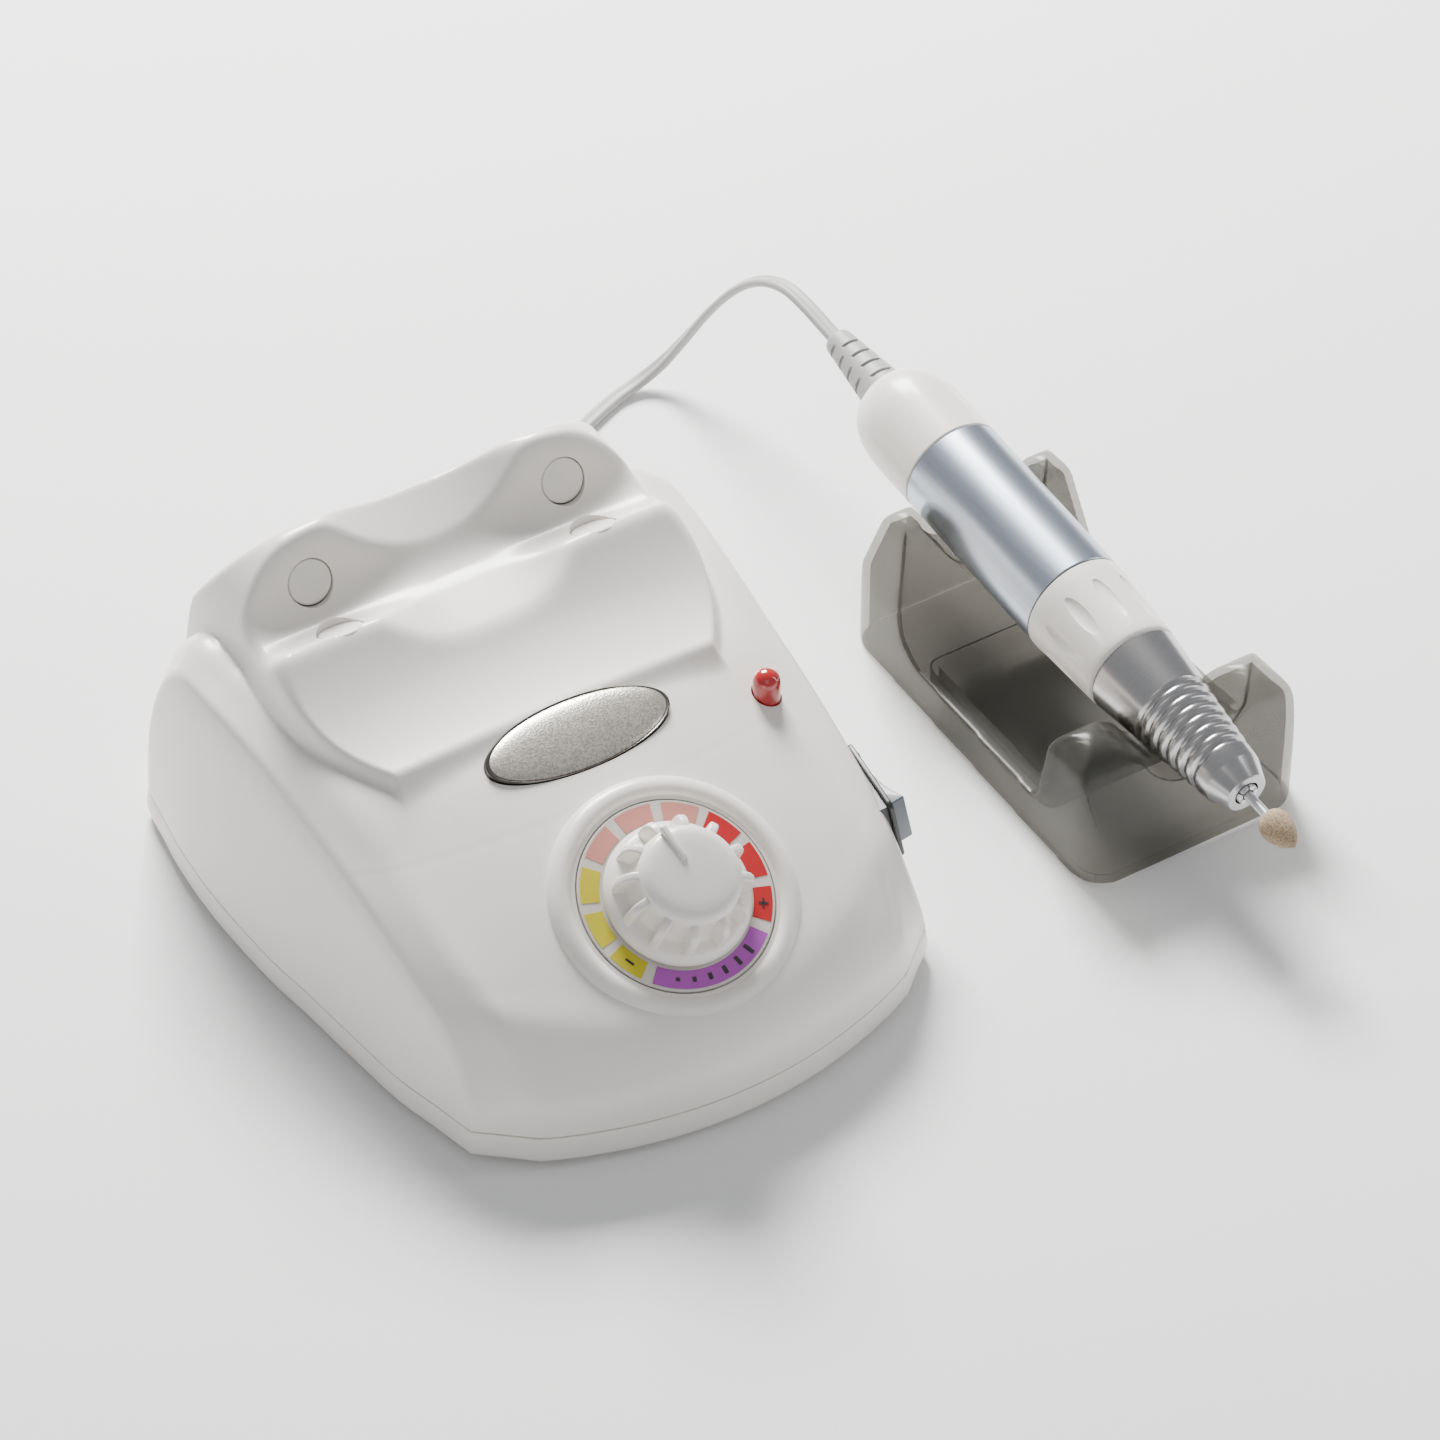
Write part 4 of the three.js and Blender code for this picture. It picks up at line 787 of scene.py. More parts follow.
def end_height(x, y):
    reach = span_at(y) - 26
    u = max(abs(x) - 26, 0) / reach
    rise = RIM - CROWN
    if u < 0.995:
        return CROWN + rise * math.sqrt(1 - u * u)
    return CROWN + rise * 0.1 - (u - 0.995) * reach * 9


def trough_height(y):
    axis = TROUGH_FLOOR + TROUGH_RADIUS
    offset = y - TROUGH_MIDDLE
    limit = TROUGH_RADIUS * 0.914
    if abs(offset) < limit:
        return axis - math.sqrt(TROUGH_RADIUS ** 2 - offset ** 2)
    return axis - math.sqrt(TROUGH_RADIUS ** 2 - limit ** 2) + (abs(offset) - limit) * 2.3


def cradle_height(x, y):
    """The cradle's surface over a place on the case."""
    sweep_start = CROWN - 1.2
    share = max(y - SWEEP_FOOT, 0) / (TROUGH_MIDDLE - TROUGH_RADIUS - SWEEP_FOOT)
    sweep = sweep_start - max(SWEEP_FOOT - y, 0) * 1.6 + (LIP - sweep_start) * share ** 2
    front = soft_min(sweep, LIP, 1.6)
    back = soft_min(RIM, RIM - (y - 20.8) * 1.75, 4)
    height = soft_min(front if y < TROUGH_MIDDLE else back, trough_height(y), 1.6)
    height = soft_min(height, end_height(x, y), 5)
    if y < TROUGH_MIDDLE:
        height = soft_min(height, 63.7 + (y + 14) * 0.11 + 5.1 * (abs(x) / 24) ** 3, 1)
    else:
        height = soft_min(height, 59.5 + (y + 9.5) * 0.47 + 10.2 * (abs(x) / 26) ** 2.2, 2)
    rear = 42.5 - 3 * (2 * x / 114.8) ** 2
    return soft_min(height, SEAM - 10 * (y - rear + 1), 3)


def cradle_inside(x, y, wall):
    around = [
        cradle_height(x + wall * math.cos(k * math.pi / 4), y + wall * math.sin(k * math.pi / 4))
        for k in range(8)
    ]
    return min(cradle_height(x, y) - wall, *around)


def dome(name, rows, floor):
    """A closed body from a grid of points whose border is carried down to the floor."""
    n, m = len(rows), len(rows[0])
    points = [at(*p) for row in rows for p in row]
    faces = [
        [i * m + j, i * m + j + 1, (i + 1) * m + j + 1, (i + 1) * m + j]
        for i in range(n - 1) for j in range(m - 1)
    ]
    border = [j for j in range(m - 1)] + [i * m + m - 1 for i in range(n - 1)]
    border += [(n - 1) * m + j for j in range(m - 1, 0, -1)] + [i * m for i in range(n - 1, 0, -1)]
    low = len(points)
    points += [Vector((points[k].x, points[k].y, floor * MM)) for k in border]
    for k, here in enumerate(border):
        after = (k + 1) % len(border)
        faces.append([here, low + k, low + after, border[after]])
    faces.append([low + k for k in range(len(border))])
    piece = piece_from(name, points, faces)
    select_only(piece)
    bpy.ops.object.mode_set(mode="EDIT")
    bpy.ops.mesh.select_all(action="SELECT")
    bpy.ops.mesh.remove_doubles(threshold=0.00001)
    bpy.ops.mesh.normals_make_consistent(inside=False)
    bpy.ops.object.mode_set(mode="OBJECT")
    return piece


def case_rows(steps_along, steps_across, surface):
    places = []
    for k in range(len(SECTIONS) - 1):
        steps = steps_along * 2 if 5 <= k <= 9 else steps_along
        places += [(k + i / steps) / (len(SECTIONS) - 1) for i in range(steps)]
    places.append(1.0)
    fine, coarse = steps_across, steps_across // 2
    shares = [0.66 * CROWN_SHARE * i / coarse for i in range(coarse)]
    shares += [CROWN_SHARE * (0.66 + 0.34 * i / fine) for i in range(fine)]
    bevel, wall = fine // 2, fine // 3
    shares += [CROWN_SHARE + (BEVEL_SHARE - CROWN_SHARE) * i / bevel for i in range(bevel)]
    shares += [BEVEL_SHARE + (1 - BEVEL_SHARE) * i / wall for i in range(wall + 1)]
    across = [-s for s in shares[:0:-1]] + shares
    return [[surface(section, v) for v in across] for section in map(Section, places)]


def relaxed(rows, passes):
    """The rows with their heights evened out between neighbours, the border kept."""
    for _ in range(passes):
        heights = [[p[2] for p in row] for row in rows]
        for i in range(2, len(rows) - 2):
            for j in range(2, len(rows[0]) - 2):
                here = heights[i][j]
                near = heights[i - 1][j] + heights[i + 1][j] + heights[i][j - 1] + heights[i][j + 1]
                x, y, _ = rows[i][j]
                rows[i][j] = (x, y, here * 0.5 + near * 0.125)
    return rows


def side_frame(y, z):
    """The frame of the side switch: X up the wall, Y to the front and Z out of it."""
    low, high = 0.1, 0.8
    def wall_at(w):
        section = Section(w)
        share = (z - SEAM) / (section.lower[2] - SEAM)
        return Vector(mixed(section.seam, section.lower, share))
    for _ in range(30):
        middle = (low + high) / 2
        if wall_at(middle).y < y:
            low = middle
        else:
            high = middle
    place = wall_at(low)
    section = Section(low)
    climb = Vector(section.lower) - Vector(section.seam)
    outward_axis = (wall_at(low - 0.01) - place).cross(climb).normalized()
    if outward_axis.x < 0:
        outward_axis.negate()
    forward = outward_axis.cross(Vector((0, 0, 1))).normalized()
    upward = forward.cross(outward_axis)
    turn = Matrix((upward, forward, outward_axis)).transposed().to_4x4()
    return Matrix.Translation(at(*place)) @ turn


SWITCH = side_frame(-71.5, 25)
REAR_FACE, REAR_HEIGHT = 38.6, 31
REAR_PLACES = {"inlet": -37, "mode": -12, "handpiece": 8, "pedal": 24}
LAMP = (46, -51)


def rear_frame(x):
    return Matrix.Translation(at(x, REAR_FACE, REAR_HEIGHT)) @ Matrix.Rotation(math.radians(-90), 4, "X")


def pad_frame(side, wall):
    tilt = 66 if wall == "back" else -30
    y, z = 12.6, 71.1
    if wall == "front":
        y = TROUGH_MIDDLE + TROUGH_RADIUS * math.sin(math.radians(tilt))
        z = TROUGH_FLOOR + TROUGH_RADIUS * (1 - math.cos(math.radians(tilt)))
    return Matrix.Translation(at(32.4 * side, y, z)) @ Matrix.Rotation(math.radians(tilt), 4, "X")


BADGE = frame_at(0.6, -45.8, 54.7, 17)


def oval(reach_x, reach_y, low, high, name="oval"):
    """An upright elliptical body at the badge's place."""
    piece = turned(name, [(0, low), (1, low), (1, high), (0, high)], 96)
    return fixed(piece, BADGE @ Matrix.Diagonal((reach_x, reach_y, 1, 1)))


def seam_ring(inset, z, steps=60):
    """The seam outline as points at a height, drawn in by an inset."""
    ring = [Section(i / steps).point(1) for i in range(steps + 1)]
    back, front = Section(1), Section(0)
    half = [back.point(1 - i / 16) for i in range(1, 17)]
    ring += half + [[-x, y, z0] for x, y, z0 in half[-2::-1]]
    ring += [[-x, y, z0] for x, y, z0 in (Section(i / steps).point(1) for i in range(steps, -1, -1))]
    half = [front.point(1 - i / 16) for i in range(1, 17)]
    ring += [[-x, y, z0] for x, y, z0 in half] + half[-2::-1]
    return [
        (x * (1 - inset / HALF_WIDTH), CASE_MIDDLE + (y - CASE_MIDDLE) * (1 - inset / HALF_LENGTH), z)
        for x, y, _ in ring
    ]


def stacked(name, rings):
    """A closed body through rings of the same number of points."""
    count = len(rings[0])
    points = [at(*p) for ring in rings for p in ring]
    faces = [
        [r * count + i, r * count + (i + 1) % count, (r + 1) * count + (i + 1) % count,
         (r + 1) * count + i]
        for r in range(len(rings) - 1) for i in range(count)
    ]
    faces.append(list(range(count))[::-1])
    faces.append([(len(rings) - 1) * count + i for i in range(count)])
    return outward(piece_from(name, points, faces))


class CaseOperator(bpy.types.Operator):
    """Moulds the case of the control box"""

    bl_idname = "nail_drill.case"
    bl_label = "Case"

    def execute(self, context):
        sizes = context.scene.nail_drill.case
        wall = sizes.wall / MM

        def outside(section, across):
            x, y, z = section.soft_point(abs(across), sizes.softness)
            if z > SEAM + 0.01:
                z = soft_max(z, cradle_height(x, y), 5)
            return (math.copysign(x, across), y, z)

        def inside(section, across):
            x, y, z = section.point(abs(across))
            x *= 1 - wall / HALF_WIDTH
            y = CASE_MIDDLE + (y - CASE_MIDDLE) * (1 - wall / HALF_LENGTH)
            z = SEAM + (z - SEAM) * (1 - wall / CASE_HEIGHT)
            if z > SEAM + 0.01:
                z = soft_max(z, cradle_inside(x, y, wall), 3)
            return (math.copysign(x, across), y, z)

        rows = relaxed(case_rows(sizes.steps_along, sizes.steps_across, outside), 2)
        top = dome("case_top", rows, SEAM - 4)
        cut(top, box("below", (300, 300, 20), (0, 0, SEAM + 0.15 - 10)))
        whole = top.copy()
        whole.data = top.data.copy()
        context.scene.collection.objects.link(whole)
        hollow = dome("hollow", case_rows(4, 16, inside), SEAM - 5)
        cut(top, hollow)
        panel_frame = Matrix.Translation(at(-9.5, REAR_FACE, 30.5))
        panel = box("panel", (85, 3, 33), (0, -1.5, 0), panel_frame)
        combined(panel, whole, "INTERSECT")
        added(top, panel)
        cut(top, box("recess", (85, 20, 27), (0, 10, 0), panel_frame))
        cut(top, turned("seat_hole", [(0, -1), (24, -1), (24, 12), (0, 12)], 96, DIAL))
        added(top, turned("seat", [
            (0, -4.4), (26.6, -4.4), (28.3, -2.4), (28.2, -1.3), (27.5, -0.3), (26.4, 0.45), (25.2, 0.72),
            (24.3, 0.55), (23.6, 0.1), (23.3, -0.3), (0, -0.3)], 128, DIAL))
        tools = [
            turned("plate_hole", [
                (0, -12), (4.2, -12), (4.2, -1.35), (22.4, -1.35), (22.4, 3), (0, 3)], 128, DIAL),
            oval(23.2, 9.1, -1.5, 8),
            turned("lamp_hole", [(0, 30), (3.45, 30), (3.45, 70), (0, 70)], 48,
                   Matrix.Translation(at(*LAMP, 0))),
            box("switch_hole", (16, 21, 30), (0, 0, 0), SWITCH),
            box("inlet_hole", (21, 12.6, 12), (0, 0, 0), rear_frame(REAR_PLACES["inlet"])),
            box("mode_hole", (13.4, 19.4, 12), (0, 0, 0), rear_frame(REAR_PLACES["mode"])),
        ]
        for name in ("handpiece", "pedal"):
            tools.append(turned("socket_hole", [(0, -6), (5.3, -6), (5.3, 6), (0, 6)], 48,
                                rear_frame(REAR_PLACES[name])))
        for side in (-1, 1):
            for where in ("back", "front"):
                tools.append(turned("pad_hole", [(0, -1.3), (5.5, -1.3), (5.5, 4), (0, 4)], 48,
                                    pad_frame(side, where)))
        cut(top, joined_mesh("holes", tools))
        finished(top, "white shell", "frame", "top_shell", slot="white_shell", angle=30)

        base = stacked("case_base", [
            seam_ring(0.6, 1.6), seam_ring(0, 1.75), seam_ring(-0.35, 2.3), seam_ring(-0.5, 3.2),
            seam_ring(-0.4, 4.6), seam_ring(-0.1, 7.6), seam_ring(0.1, 8.2), seam_ring(0.45, 8.4)])
        cut(base, stacked("base_hollow", [seam_ring(3, 4.2), seam_ring(2.6, 12)]))
        for x, y in ((-40, -90), (40, -90), (-56, 12), (56, 12)):
            place = Matrix.Translation(at(x, y, 0))
            added(base, turned("post", [(0, 1.65), (5, 1.65), (5, 8.55), (0, 8.55)], 32, place))
            cut(base, turned("screw_way", [
                (0, 0), (3.5, 0), (3.5, 4), (1.7, 4), (1.7, 20), (0, 20)], 32, place))
        finished(base, "white shell", "frame", "bottom_shell", slot="white_shell", angle=30)
        return {"FINISHED"}


# ---------- dial ----------

SCALE = [
    ("scale pink", ((132.5, 109), (101.9, 77.8), (70.9, 47.6))),
    ("scale red", ((41.4, 18.9), (11.9, -10.7), (-17.5, -40))),
    ("scale purple", ((-47.6, -133.3),)),
    ("scale yellow", ((-140.2, -162.5), (-168.8, -191.2), (-198, -221))),
]


def polar(radius, degrees):
    return (radius * math.cos(math.radians(degrees)), radius * math.sin(math.radians(degrees)))


def sector(inner, outer, start, end, low, high, matrix):
    count = max(4, int(abs(end - start) / 2))
    turns = [start + (end - start) * i / count for i in range(count + 1)]
    outline = [polar(outer, a) for a in turns] + [polar(inner, a) for a in reversed(turns)]
    return prism("sector", outline, low, high, matrix)


class DialOperator(bpy.types.Operator):
    """Prints the colour scale and moulds the speed knob"""

    bl_idname = "nail_drill.dial"
    bl_label = "Dial"

    def execute(self, context):
        sizes = context.scene.nail_drill.dial
        plate = turned("dial_face", [(4.4, -1), (22, -1), (22, -0.15), (21.8, 0), (4.4, 0)], 128, DIAL)
        finished(plate, "scale plate", "frame", "dial_plate", slot="dial_plate")
        inner, outer = sizes.scale_inner / MM, sizes.scale_outer / MM
        for look, spans in SCALE:
            parts = [sector(inner, outer, a, b, 0.01, 0.1, DIAL) for a, b in spans]
            band = joined_mesh(look.replace(" ", "_"), parts)
            finished(band, look, "frame", slot="dial_plate")
        # a minus at the slow end, a plus at the fast end and growing bars between them
        marks = []
        middle = (inner + outer) / 2
        for size, degrees in (((0.5, 2.2), -151.3), ((0.5, 2.2), -28.7), ((2.2, 0.5), -28.7)):
            marks.append((size, degrees))
        marks += [((0.8 + 0.36 * i, 0.9), -118 + 11 * i) for i in range(6)]
        bars = []
        for (radial, across), degrees in marks:
            place = DIAL @ Matrix.Rotation(math.radians(degrees), 4, "Z")
            bars.append(box("mark", (radial, across, 0.08), (middle, 0, 0.16), place))
        finished(joined_mesh("scale_marks", bars), "print black", "frame", slot="dial_plate")

        skirt, cap, top = (v / MM for v in (sizes.knob_radius, sizes.cap_radius, sizes.knob_height))
        turn = DIAL @ Matrix.Rotation(math.radians(7), 4, "Z")
        knob = turned("knob", [
            (0, 11.4), (3.3, 11.4), (3.3, 3.2), (8, 3.2), (8, 0.7), (skirt - 0.2, 0.7), (skirt, 0.9),
            (skirt, 1.4), (skirt - 0.25, 2), (skirt - 1.2, 3.4), (skirt - 1.9, 3.95), (skirt - 3, 4.3),
            (cap + 0.5, 4.6), (cap, 5.2), (cap - 0.35, 8), (cap - 0.7, top - 3), (cap - 0.95, top - 1.9),
            (cap - 1.5, top - 1.1), (cap - 2.4, top - 0.5), (cap - 3.6, top - 0.2), (cap - 6, top - 0.05),
            (0, top)], 128, turn)
        fins = []
        for i in range(sizes.fins):
            place = turn @ Matrix.Rotation(math.tau * i / sizes.fins, 4, "Z")
            side = [(cap - 2, 1.6), (cap + 3.1, 1.6), (cap + 3.2, 5), (cap + 3, 8.2), (cap + 2.5, 10),
                    (cap + 1.6, 11.2), (cap + 0.4, 11.9), (cap - 0.8, 12.1), (cap - 2, 12)]
            fin = prism("fin", side, -1.05, 1.05, place @ ACROSS)
            rounded(fin, 0.55, 3, 40)
            fins.append(fin)
        added(knob, joined_mesh("fins", fins))
        rib = box("rib", (1.5, 8.6, 1.9), (0, cap - 4.6, top - 0.25), turn)
        rounded(rib, 0.45, 3, 40)
        added(knob, rib)
        finished(knob, "white shell", "dial_knob", "speed_knob", slot="white_shell", angle=40)
        return {"FINISHED"}


# ---------- fittings ----------


def cover(width, length, radius, low, high):
    outline = []
    for cx, cy, start in ((1, 1, 0), (-1, 1, 90), (-1, -1, 180), (1, -1, 270)):
        x, y = cx * (width / 2 - radius), cy * (length / 2 - radius)
        outline += arc(x, y, radius, start, start + 90, 6)
    return prism("cover", outline, low, high)


def rocker(name, width, length, proud, matrix):
    outline = [(-length / 2, -1)]
    for i in range(17):
        t = i / 8 - 1
        outline.append((t * length / 2, proud - 1.6 + 1.6 * t * t))
    outline += [(length / 2, -1), (0, -4)]
    piece = prism(name, outline, -width / 2, width / 2, matrix @ ACROSS)
    return rounded(piece, 0.35, 3, 50)


def switch_frame_piece(name, width, length, matrix):
    plate = rounded(cover(width + 4.6, length + 4.6, 1.6, 0.3, 1.5), 0.35, 3, 60)
    fixed(plate, matrix)
    added(plate, box("body", (width + 2.4, length + 2.4, 12), (0, 0, -5), matrix))
    cut(plate, box("slot", (width + 0.6, length + 1.4, 12), (0, 0, 1), matrix))
    plate.name = name
    return plate


class FittingsOperator(bpy.types.Operator):
    """Moulds the badge, the lamp, the cradle pads and the switches"""

    bl_idname = "nail_drill.fittings"
    bl_label = "Fittings"

    def execute(self, context):
        stretch = BADGE @ Matrix.Diagonal((22.9, 8.8, 1, 1))
        rim = turned("badge_rim", [(0, -1.2), (1, -1.2), (1, 0.35), (0.985, 0.6), (0.965, 0.5), (0, 0.5)],
                     128, stretch)
        finished(rim, "badge rim", "frame", "badge", slot="badge_metal")
        face = turned("badge_face", [
            (0, 0.52), (0.96, 0.52), (0.955, 0.7), (0.92, 0.9), (0.84, 1.14), (0.72, 1.36), (0.55, 1.56),
            (0.35, 1.7), (0.17, 1.77), (0, 1.79)], 128, stretch)
        finished(face, "champagne glitter", "frame", slot="badge_metal")
        lens = turned("lamp", [
            (0, -6), (3.1, -6), (3.15, -5.8), (3.15, 3), (3.1, 3.7), (2.9, 4.4), (2.6, 5), (2.2, 5.5),
            (1.7, 5.85), (1.2, 6.1), (0.6, 6.25), (0, 6.3)], 64, Matrix.Translation(at(*LAMP, 49.2)))
        finished(lens, "red lens", "frame", "power_lamp", slot="red_lens")
        for side, hand in ((-1, "left"), (1, "right")):
            for where in ("back", "front"):
                pad = turned(f"pad_{where}_{hand}", [
                    (0, -1), (5.2, -1), (5.2, -0.2), (5, 0), (0, 0.05)], 64, pad_frame(side, where))
                finished(pad, "soft pad", "frame", f"cradle_pad_{where}_{hand}", slot="soft_pad")
        bezel = switch_frame_piece("side_bezel", 13, 18, SWITCH)
        finished(bezel, "black plastic", "frame", "direction_switch_bezel", slot="black_plastic")
        lean = SWITCH @ Matrix.Rotation(math.radians(9), 4, "X")
        finished(rocker("side_rocker_cap", 13, 18, 3.8, lean), "grey plastic", "side_rocker",
                 "direction_rocker", slot="grey_plastic")
        rear = rear_frame(REAR_PLACES["mode"])
        finished(switch_frame_piece("mode_bezel", 9.5, 14, rear), "black plastic", "frame",
                 "mode_switch_bezel", slot="black_plastic")
        finished(rocker("mode_rocker_cap", 9.5, 14, 3.6, rear), "black plastic", "back_rocker",
                 "mode_rocker", slot="black_plastic")
        return {"FINISHED"}


# ---------- stand ----------


def saddle(notch, floor, horn, top, radius, foot, half_width):
    half = arc(0, floor + notch, notch, -90, -22, 16) + arc(horn, top - radius, radius, 150, 12, 16)
    half += [(half_width, foot), (half_width, 0)]
    return [(-x, z) for x, z in reversed(half[1:])] + half


STAND_VOXEL = 0.0005  # grid of the remesh that rounds the posts into the tray
STAND_SMOOTHING = 22
STAND_SOLE = 0.0007  # faces below this height are the underside that is opened
STAND_FACES_KEPT = 0.25


class StandOperator(bpy.types.Operator):
    """Moulds the hollow smoky stand"""

    bl_idname = "nail_drill.stand"
    bl_label = "Stand"

    def execute(self, context):
        sizes = context.scene.nail_drill.stand
        width, length = sizes.front_width / MM, sizes.length / MM
        rail, tray, crest, rear_crest = 10.5, 3.6, 13.5, length - 13.2
        front_side = [(0.1, 0), (0.1, 9), (4.6, 24)] + arc(crest, 26.5, 8, 165, 15, 14)
        front_side += [(crest + 10, rail + 3), (crest + 11.2, rail + 1)]
        front_side += [(crest + 13, rail), (crest + 13, 0)]
        rear_side = [(length - 30, 0), (length - 30, rail)]
        rear_side += [(length - 27, rail + 1), (length - 23, rail + 4)]
        rear_side += arc(rear_crest, 36.7, 5.2, 170, 20, 14) + [(length, 9), (length, 0)]
        front = prism("front", front_side, -width / 2, width / 2, ACROSS)
        front_saddle = saddle(11.2, 20, 21.9, 34.5, 7.4, 16, width / 2)
        combined(front, prism("saddle", front_saddle, -30, 0, ALONG), "INTERSECT")
        rear = prism("rear", rear_side, -width / 2, width / 2, ACROSS)
        rear_saddle = saddle(13.6, 25.2, 21.2, 41.9, 5, 20, width / 2)
        combined(rear, prism("saddle", rear_saddle, -length, 32 - length, ALONG), "INTERSECT")
        stand = box("stand_shell", (width, length - 4, rail), (0, length / 2, rail / 2))
        well = cover(width - 13, length - 49, 4, tray, 60)
        well_place = Matrix.Translation((0, (length / 2 + 0.5) * MM, 0))
        cut(stand, fixed(well, well_place))
        added(stand, front, rear)
        plan = cover(width, length, 9, -1, 60)
        combined(stand, fixed(plan, Matrix.Translation((0, length / 2 * MM, 0))), "INTERSECT")
        sink = cover(width - 20, length - 62, 2, tray - 0.7, 8)
        cut(stand, fixed(sink, well_place))
        slope = (sizes.rear_width / sizes.front_width - 1) / sizes.length
        for vertex in stand.data.vertices:
            vertex.co.x *= 1 + slope * vertex.co.y
        modified(stand, "REMESH", mode="VOXEL", voxel_size=STAND_VOXEL, adaptivity=0)
        modified(stand, "SMOOTH", factor=0.5, iterations=STAND_SMOOTHING)
        # open underneath, so only the moulded wall is left
        select_only(stand)
        for face in stand.data.polygons:
            face.select = face.center.z < STAND_SOLE and face.normal.z < -0.8
        bpy.ops.object.mode_set(mode="EDIT")
        bpy.ops.mesh.select_mode(type="FACE")
        bpy.ops.mesh.delete(type="FACE")
        bpy.ops.object.mode_set(mode="OBJECT")
        modified(stand, "DECIMATE", decimate_type="COLLAPSE", ratio=STAND_FACES_KEPT)
        modified(stand, "SOLIDIFY", thickness=sizes.wall, offset=-1, use_rim=True)
        for vertex in stand.data.vertices:
            vertex.co.z = max(vertex.co.z, 0.0001)
        fixed(stand, Matrix.Translation(at(HANDPIECE_ASIDE, STAND_FRONT, 0)))
        finished(stand, "smoky plastic", "frame", "handpiece_stand", slot="smoky_stand", angle=50)
        return {"FINISHED"}


# ---------- handpiece ----------


class HandpieceOperator(bpy.types.Operator):
    """Turns the cap, the barrel, the lock ring, the nose and the bit"""

    bl_idname = "nail_drill.handpiece"
    bl_label = "Handpiece"

    def execute(self, context):
        sizes = context.scene.nail_drill.handpiece
        r = sizes.barrel_radius / MM
        cap = turned("cap", [
            (3.4, -28), (6.6, -28), (7.6, -27.8), (8.4, -27.3), (9.6, -26.3), (10.6, -25), (11.5, -23.1),
            (12.2, -21), (12.7, -18.6), (r - 0.05, -15.8), (r, -13), (r, -0.45), (r - 0.25, -0.15),
            (11.5, -0.15), (11.5, -14), (9.2, -20), (5, -25), (3.4, -25)], 128, HAND)
        finished(cap, "white shell", "frame", "rear_cap", slot="white_shell")
        barrel_profile = [(r - 0.2, 0.15), (r, 0.35), (r, 49.55), (r - 0.2, 49.75)]
        barrel_profile += [(11.8, 49.75), (11.8, 0.15)]
        barrel = turned("barrel_tube", barrel_profile, 128, HAND)
        finished(barrel, "brushed barrel", "frame", "barrel", slot="brushed_metal")
        ring = turned("twist_grip", [
            (9.3, 50.05), (r - 0.25, 50.05), (r, 50.3), (r, 51.8), (12.93, 53.6), (12.7, 56.05),
            (12.3, 64), (11.95, 71), (11.85, 72.6), (11.6, 73.3), (11.3, 73.55), (9.3, 73.55)], 160, HAND)
        flutes = []
        for i in range(sizes.flutes):
            bpy.ops.object.select_all(action="DESELECT")
            bpy.ops.mesh.primitive_uv_sphere_add(segments=28, ring_count=18, radius=1, location=(0, 0, 0))
            flute = bpy.context.view_layer.objects.active
            flute.scale = (0.0021, 0.00115, 0.0076)
            flute.location = (0, 0.0129, 0.063)
            fixed(flute, HAND @ Matrix.Rotation(math.tau * i / sizes.flutes, 4, "Z"))
            flutes.append(flute)
        cut(ring, joined_mesh("flutes", flutes))
        finished(ring, "white shell", "twist_ring", "lock_ring", slot="white_shell", angle=32)

        start, land_end, end = 73.85, 112.3, 117.3
        wide, narrow = 11.7, 7.2

        def radius_at(s):
            return wide + (narrow - wide) * (s - start) / (land_end - start)

        outside = [(9, 50.2), (9, start + 0.1), (11.4, start + 0.1), (11.65, start + 0.35)]
        for i in range(sizes.grooves):
            s = start + 14.5 + 3 * i
            land = radius_at(s)
            outside += [(land - 0.02, s - 0.25), (land - 0.2, s), (land - 0.85, s + 0.45)]
            outside += [(land - 0.9, s + 0.6), (land - 0.9, s + 1.3), (land - 0.8, s + 1.5)]
            outside += [(radius_at(s + 1.9) - 0.12, s + 1.85), (radius_at(s + 1.9), s + 2.1)]
        outside += [(radius_at(land_end), land_end - 0.2), (7.1, land_end), (5.2, end - 0.2), (4.9, end)]
        inside = [(3.1, end), (3.1, end - 3), (5.3, end - 3), (5.3, end - 11), (4.4, end - 12),
                  (4.4, start + 16), (6.4, start + 15), (6.4, start + 6), (7.9, start + 2), (7.9, 50.2)]
        finished(turned("nose", outside + inside, 128, HAND), "turned nose", "frame", "nose_cone",
                 slot="brushed_metal", angle=28)

        s, br = 125.4, 3.8
        profile = [(0, s), (br * 0.5, s), (br * 0.72, s + 0.3), (br * 0.86, s + 1), (br * 0.95, s + 1.8)]
        body = sizes.bit_length / MM - 3
        for i in range(17):
            profile.append((br * (1 - 0.93 * (i / 16) ** 2.1) ** 0.8, s + 2.6 + body * i / 16))
        profile.append((0, s + body + 3))
        head = turned("abrasive_head", profile, 64, HAND)
        finished(head, "abrasive", "drive", "bit_head", slot="stone")
        return {"FINISHED"}


# ---------- pieces shown as packed ----------

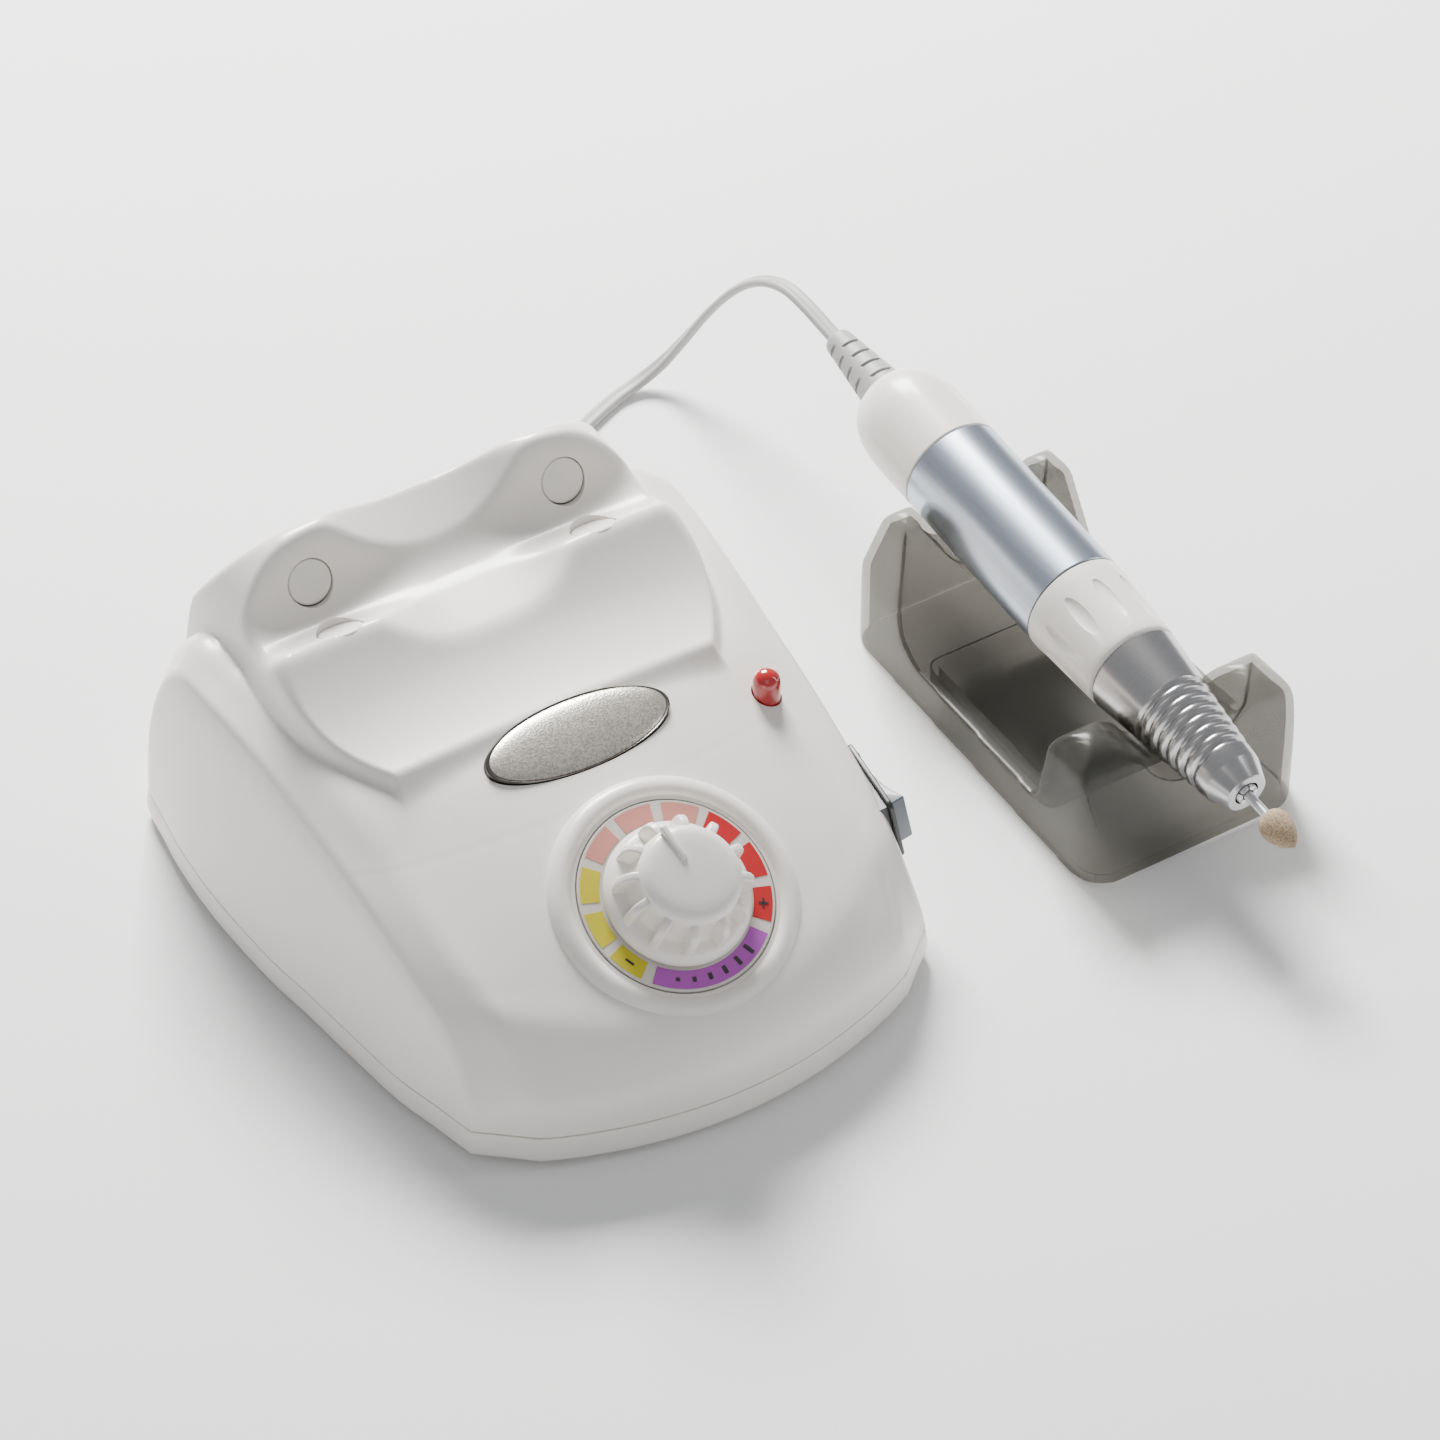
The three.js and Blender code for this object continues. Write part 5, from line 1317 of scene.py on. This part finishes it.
PLAIN_LOOKS = {
    "foot": "rubber feet", "case_screw": "steel", "speed_control": "grey plastic", "control": "steel",
    "handpiece_socket": "black plastic", "pedal_socket": "black plastic", "mains_inlet": "black plastic",
    "transformer_core": "dark steel", "transformer_winding": "copper", "circuit_board": "board green",
    "smoothing_capacitor": "black plastic", "heat_sink": "aluminium", "motor": "steel",
    "ring_magnet": "dark steel", "armature": "copper", "commutator": "copper", "brush": "groove dark",
    "drive_coupling": "brass", "spindle": "steel", "rear_bearing": "steel", "front_bearing": "steel",
    "release_sleeve": "brass", "collet": "steel", "bit_shank": "steel",
}


class InnerOperator(bpy.types.Operator):
    """Gives the pieces that are shown as packed their materials"""

    bl_idname = "nail_drill.inner"
    bl_label = "Inner pieces"

    def execute(self, context):
        for name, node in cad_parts.items():
            match = [key for key in PLAIN_LOOKS if name.startswith(key)]
            if not match:
                continue
            smoothed(node, 35)
            node.data.materials.clear()
            node.data.materials.append(material(PLAIN_LOOKS[max(match, key=len)]))
        return {"FINISHED"}


# ---------- panel ----------


class NailDrillPanel(bpy.types.Panel):
    """The sizes and the operators in the sidebar"""

    bl_idname = "VIEW3D_PT_nail_drill"
    bl_label = "Nail drill"
    bl_space_type = "VIEW_3D"
    bl_region_type = "UI"
    bl_category = "Nail drill"

    def draw(self, context):
        sizes = context.scene.nail_drill
        for name in ("stage", "cord", "case", "dial", "fittings", "stand", "handpiece", "inner"):
            column = self.layout.column(align=True)
            group = getattr(sizes, name, None)
            if group is not None:
                for key in group.__annotations__:
                    column.prop(group, key)
            column.operator(f"nail_drill.{name}")


# ---------- run ----------

CLASSES = (
    StageSizes, CordSizes, CaseSizes, DialSizes, StandSizes, HandpieceSizes, NailDrillSizes,
    StageOperator, CordOperator, CaseOperator, DialOperator, FittingsOperator, StandOperator,
    HandpieceOperator, InnerOperator, NailDrillPanel,
)


def register():
    for one in CLASSES:
        bpy.utils.register_class(one)
    bpy.types.Scene.nail_drill = PointerProperty(type=NailDrillSizes)


def unregister():
    del bpy.types.Scene.nail_drill
    for one in reversed(CLASSES):
        bpy.utils.unregister_class(one)


def main():
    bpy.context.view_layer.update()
    register()
    bpy.ops.nail_drill.stage()
    bpy.ops.nail_drill.cord()
    bpy.ops.nail_drill.case()
    bpy.ops.nail_drill.dial()
    bpy.ops.nail_drill.fittings()
    bpy.ops.nail_drill.stand()
    bpy.ops.nail_drill.handpiece()
    bpy.ops.nail_drill.inner()


if __name__ == "__main__":
    main()
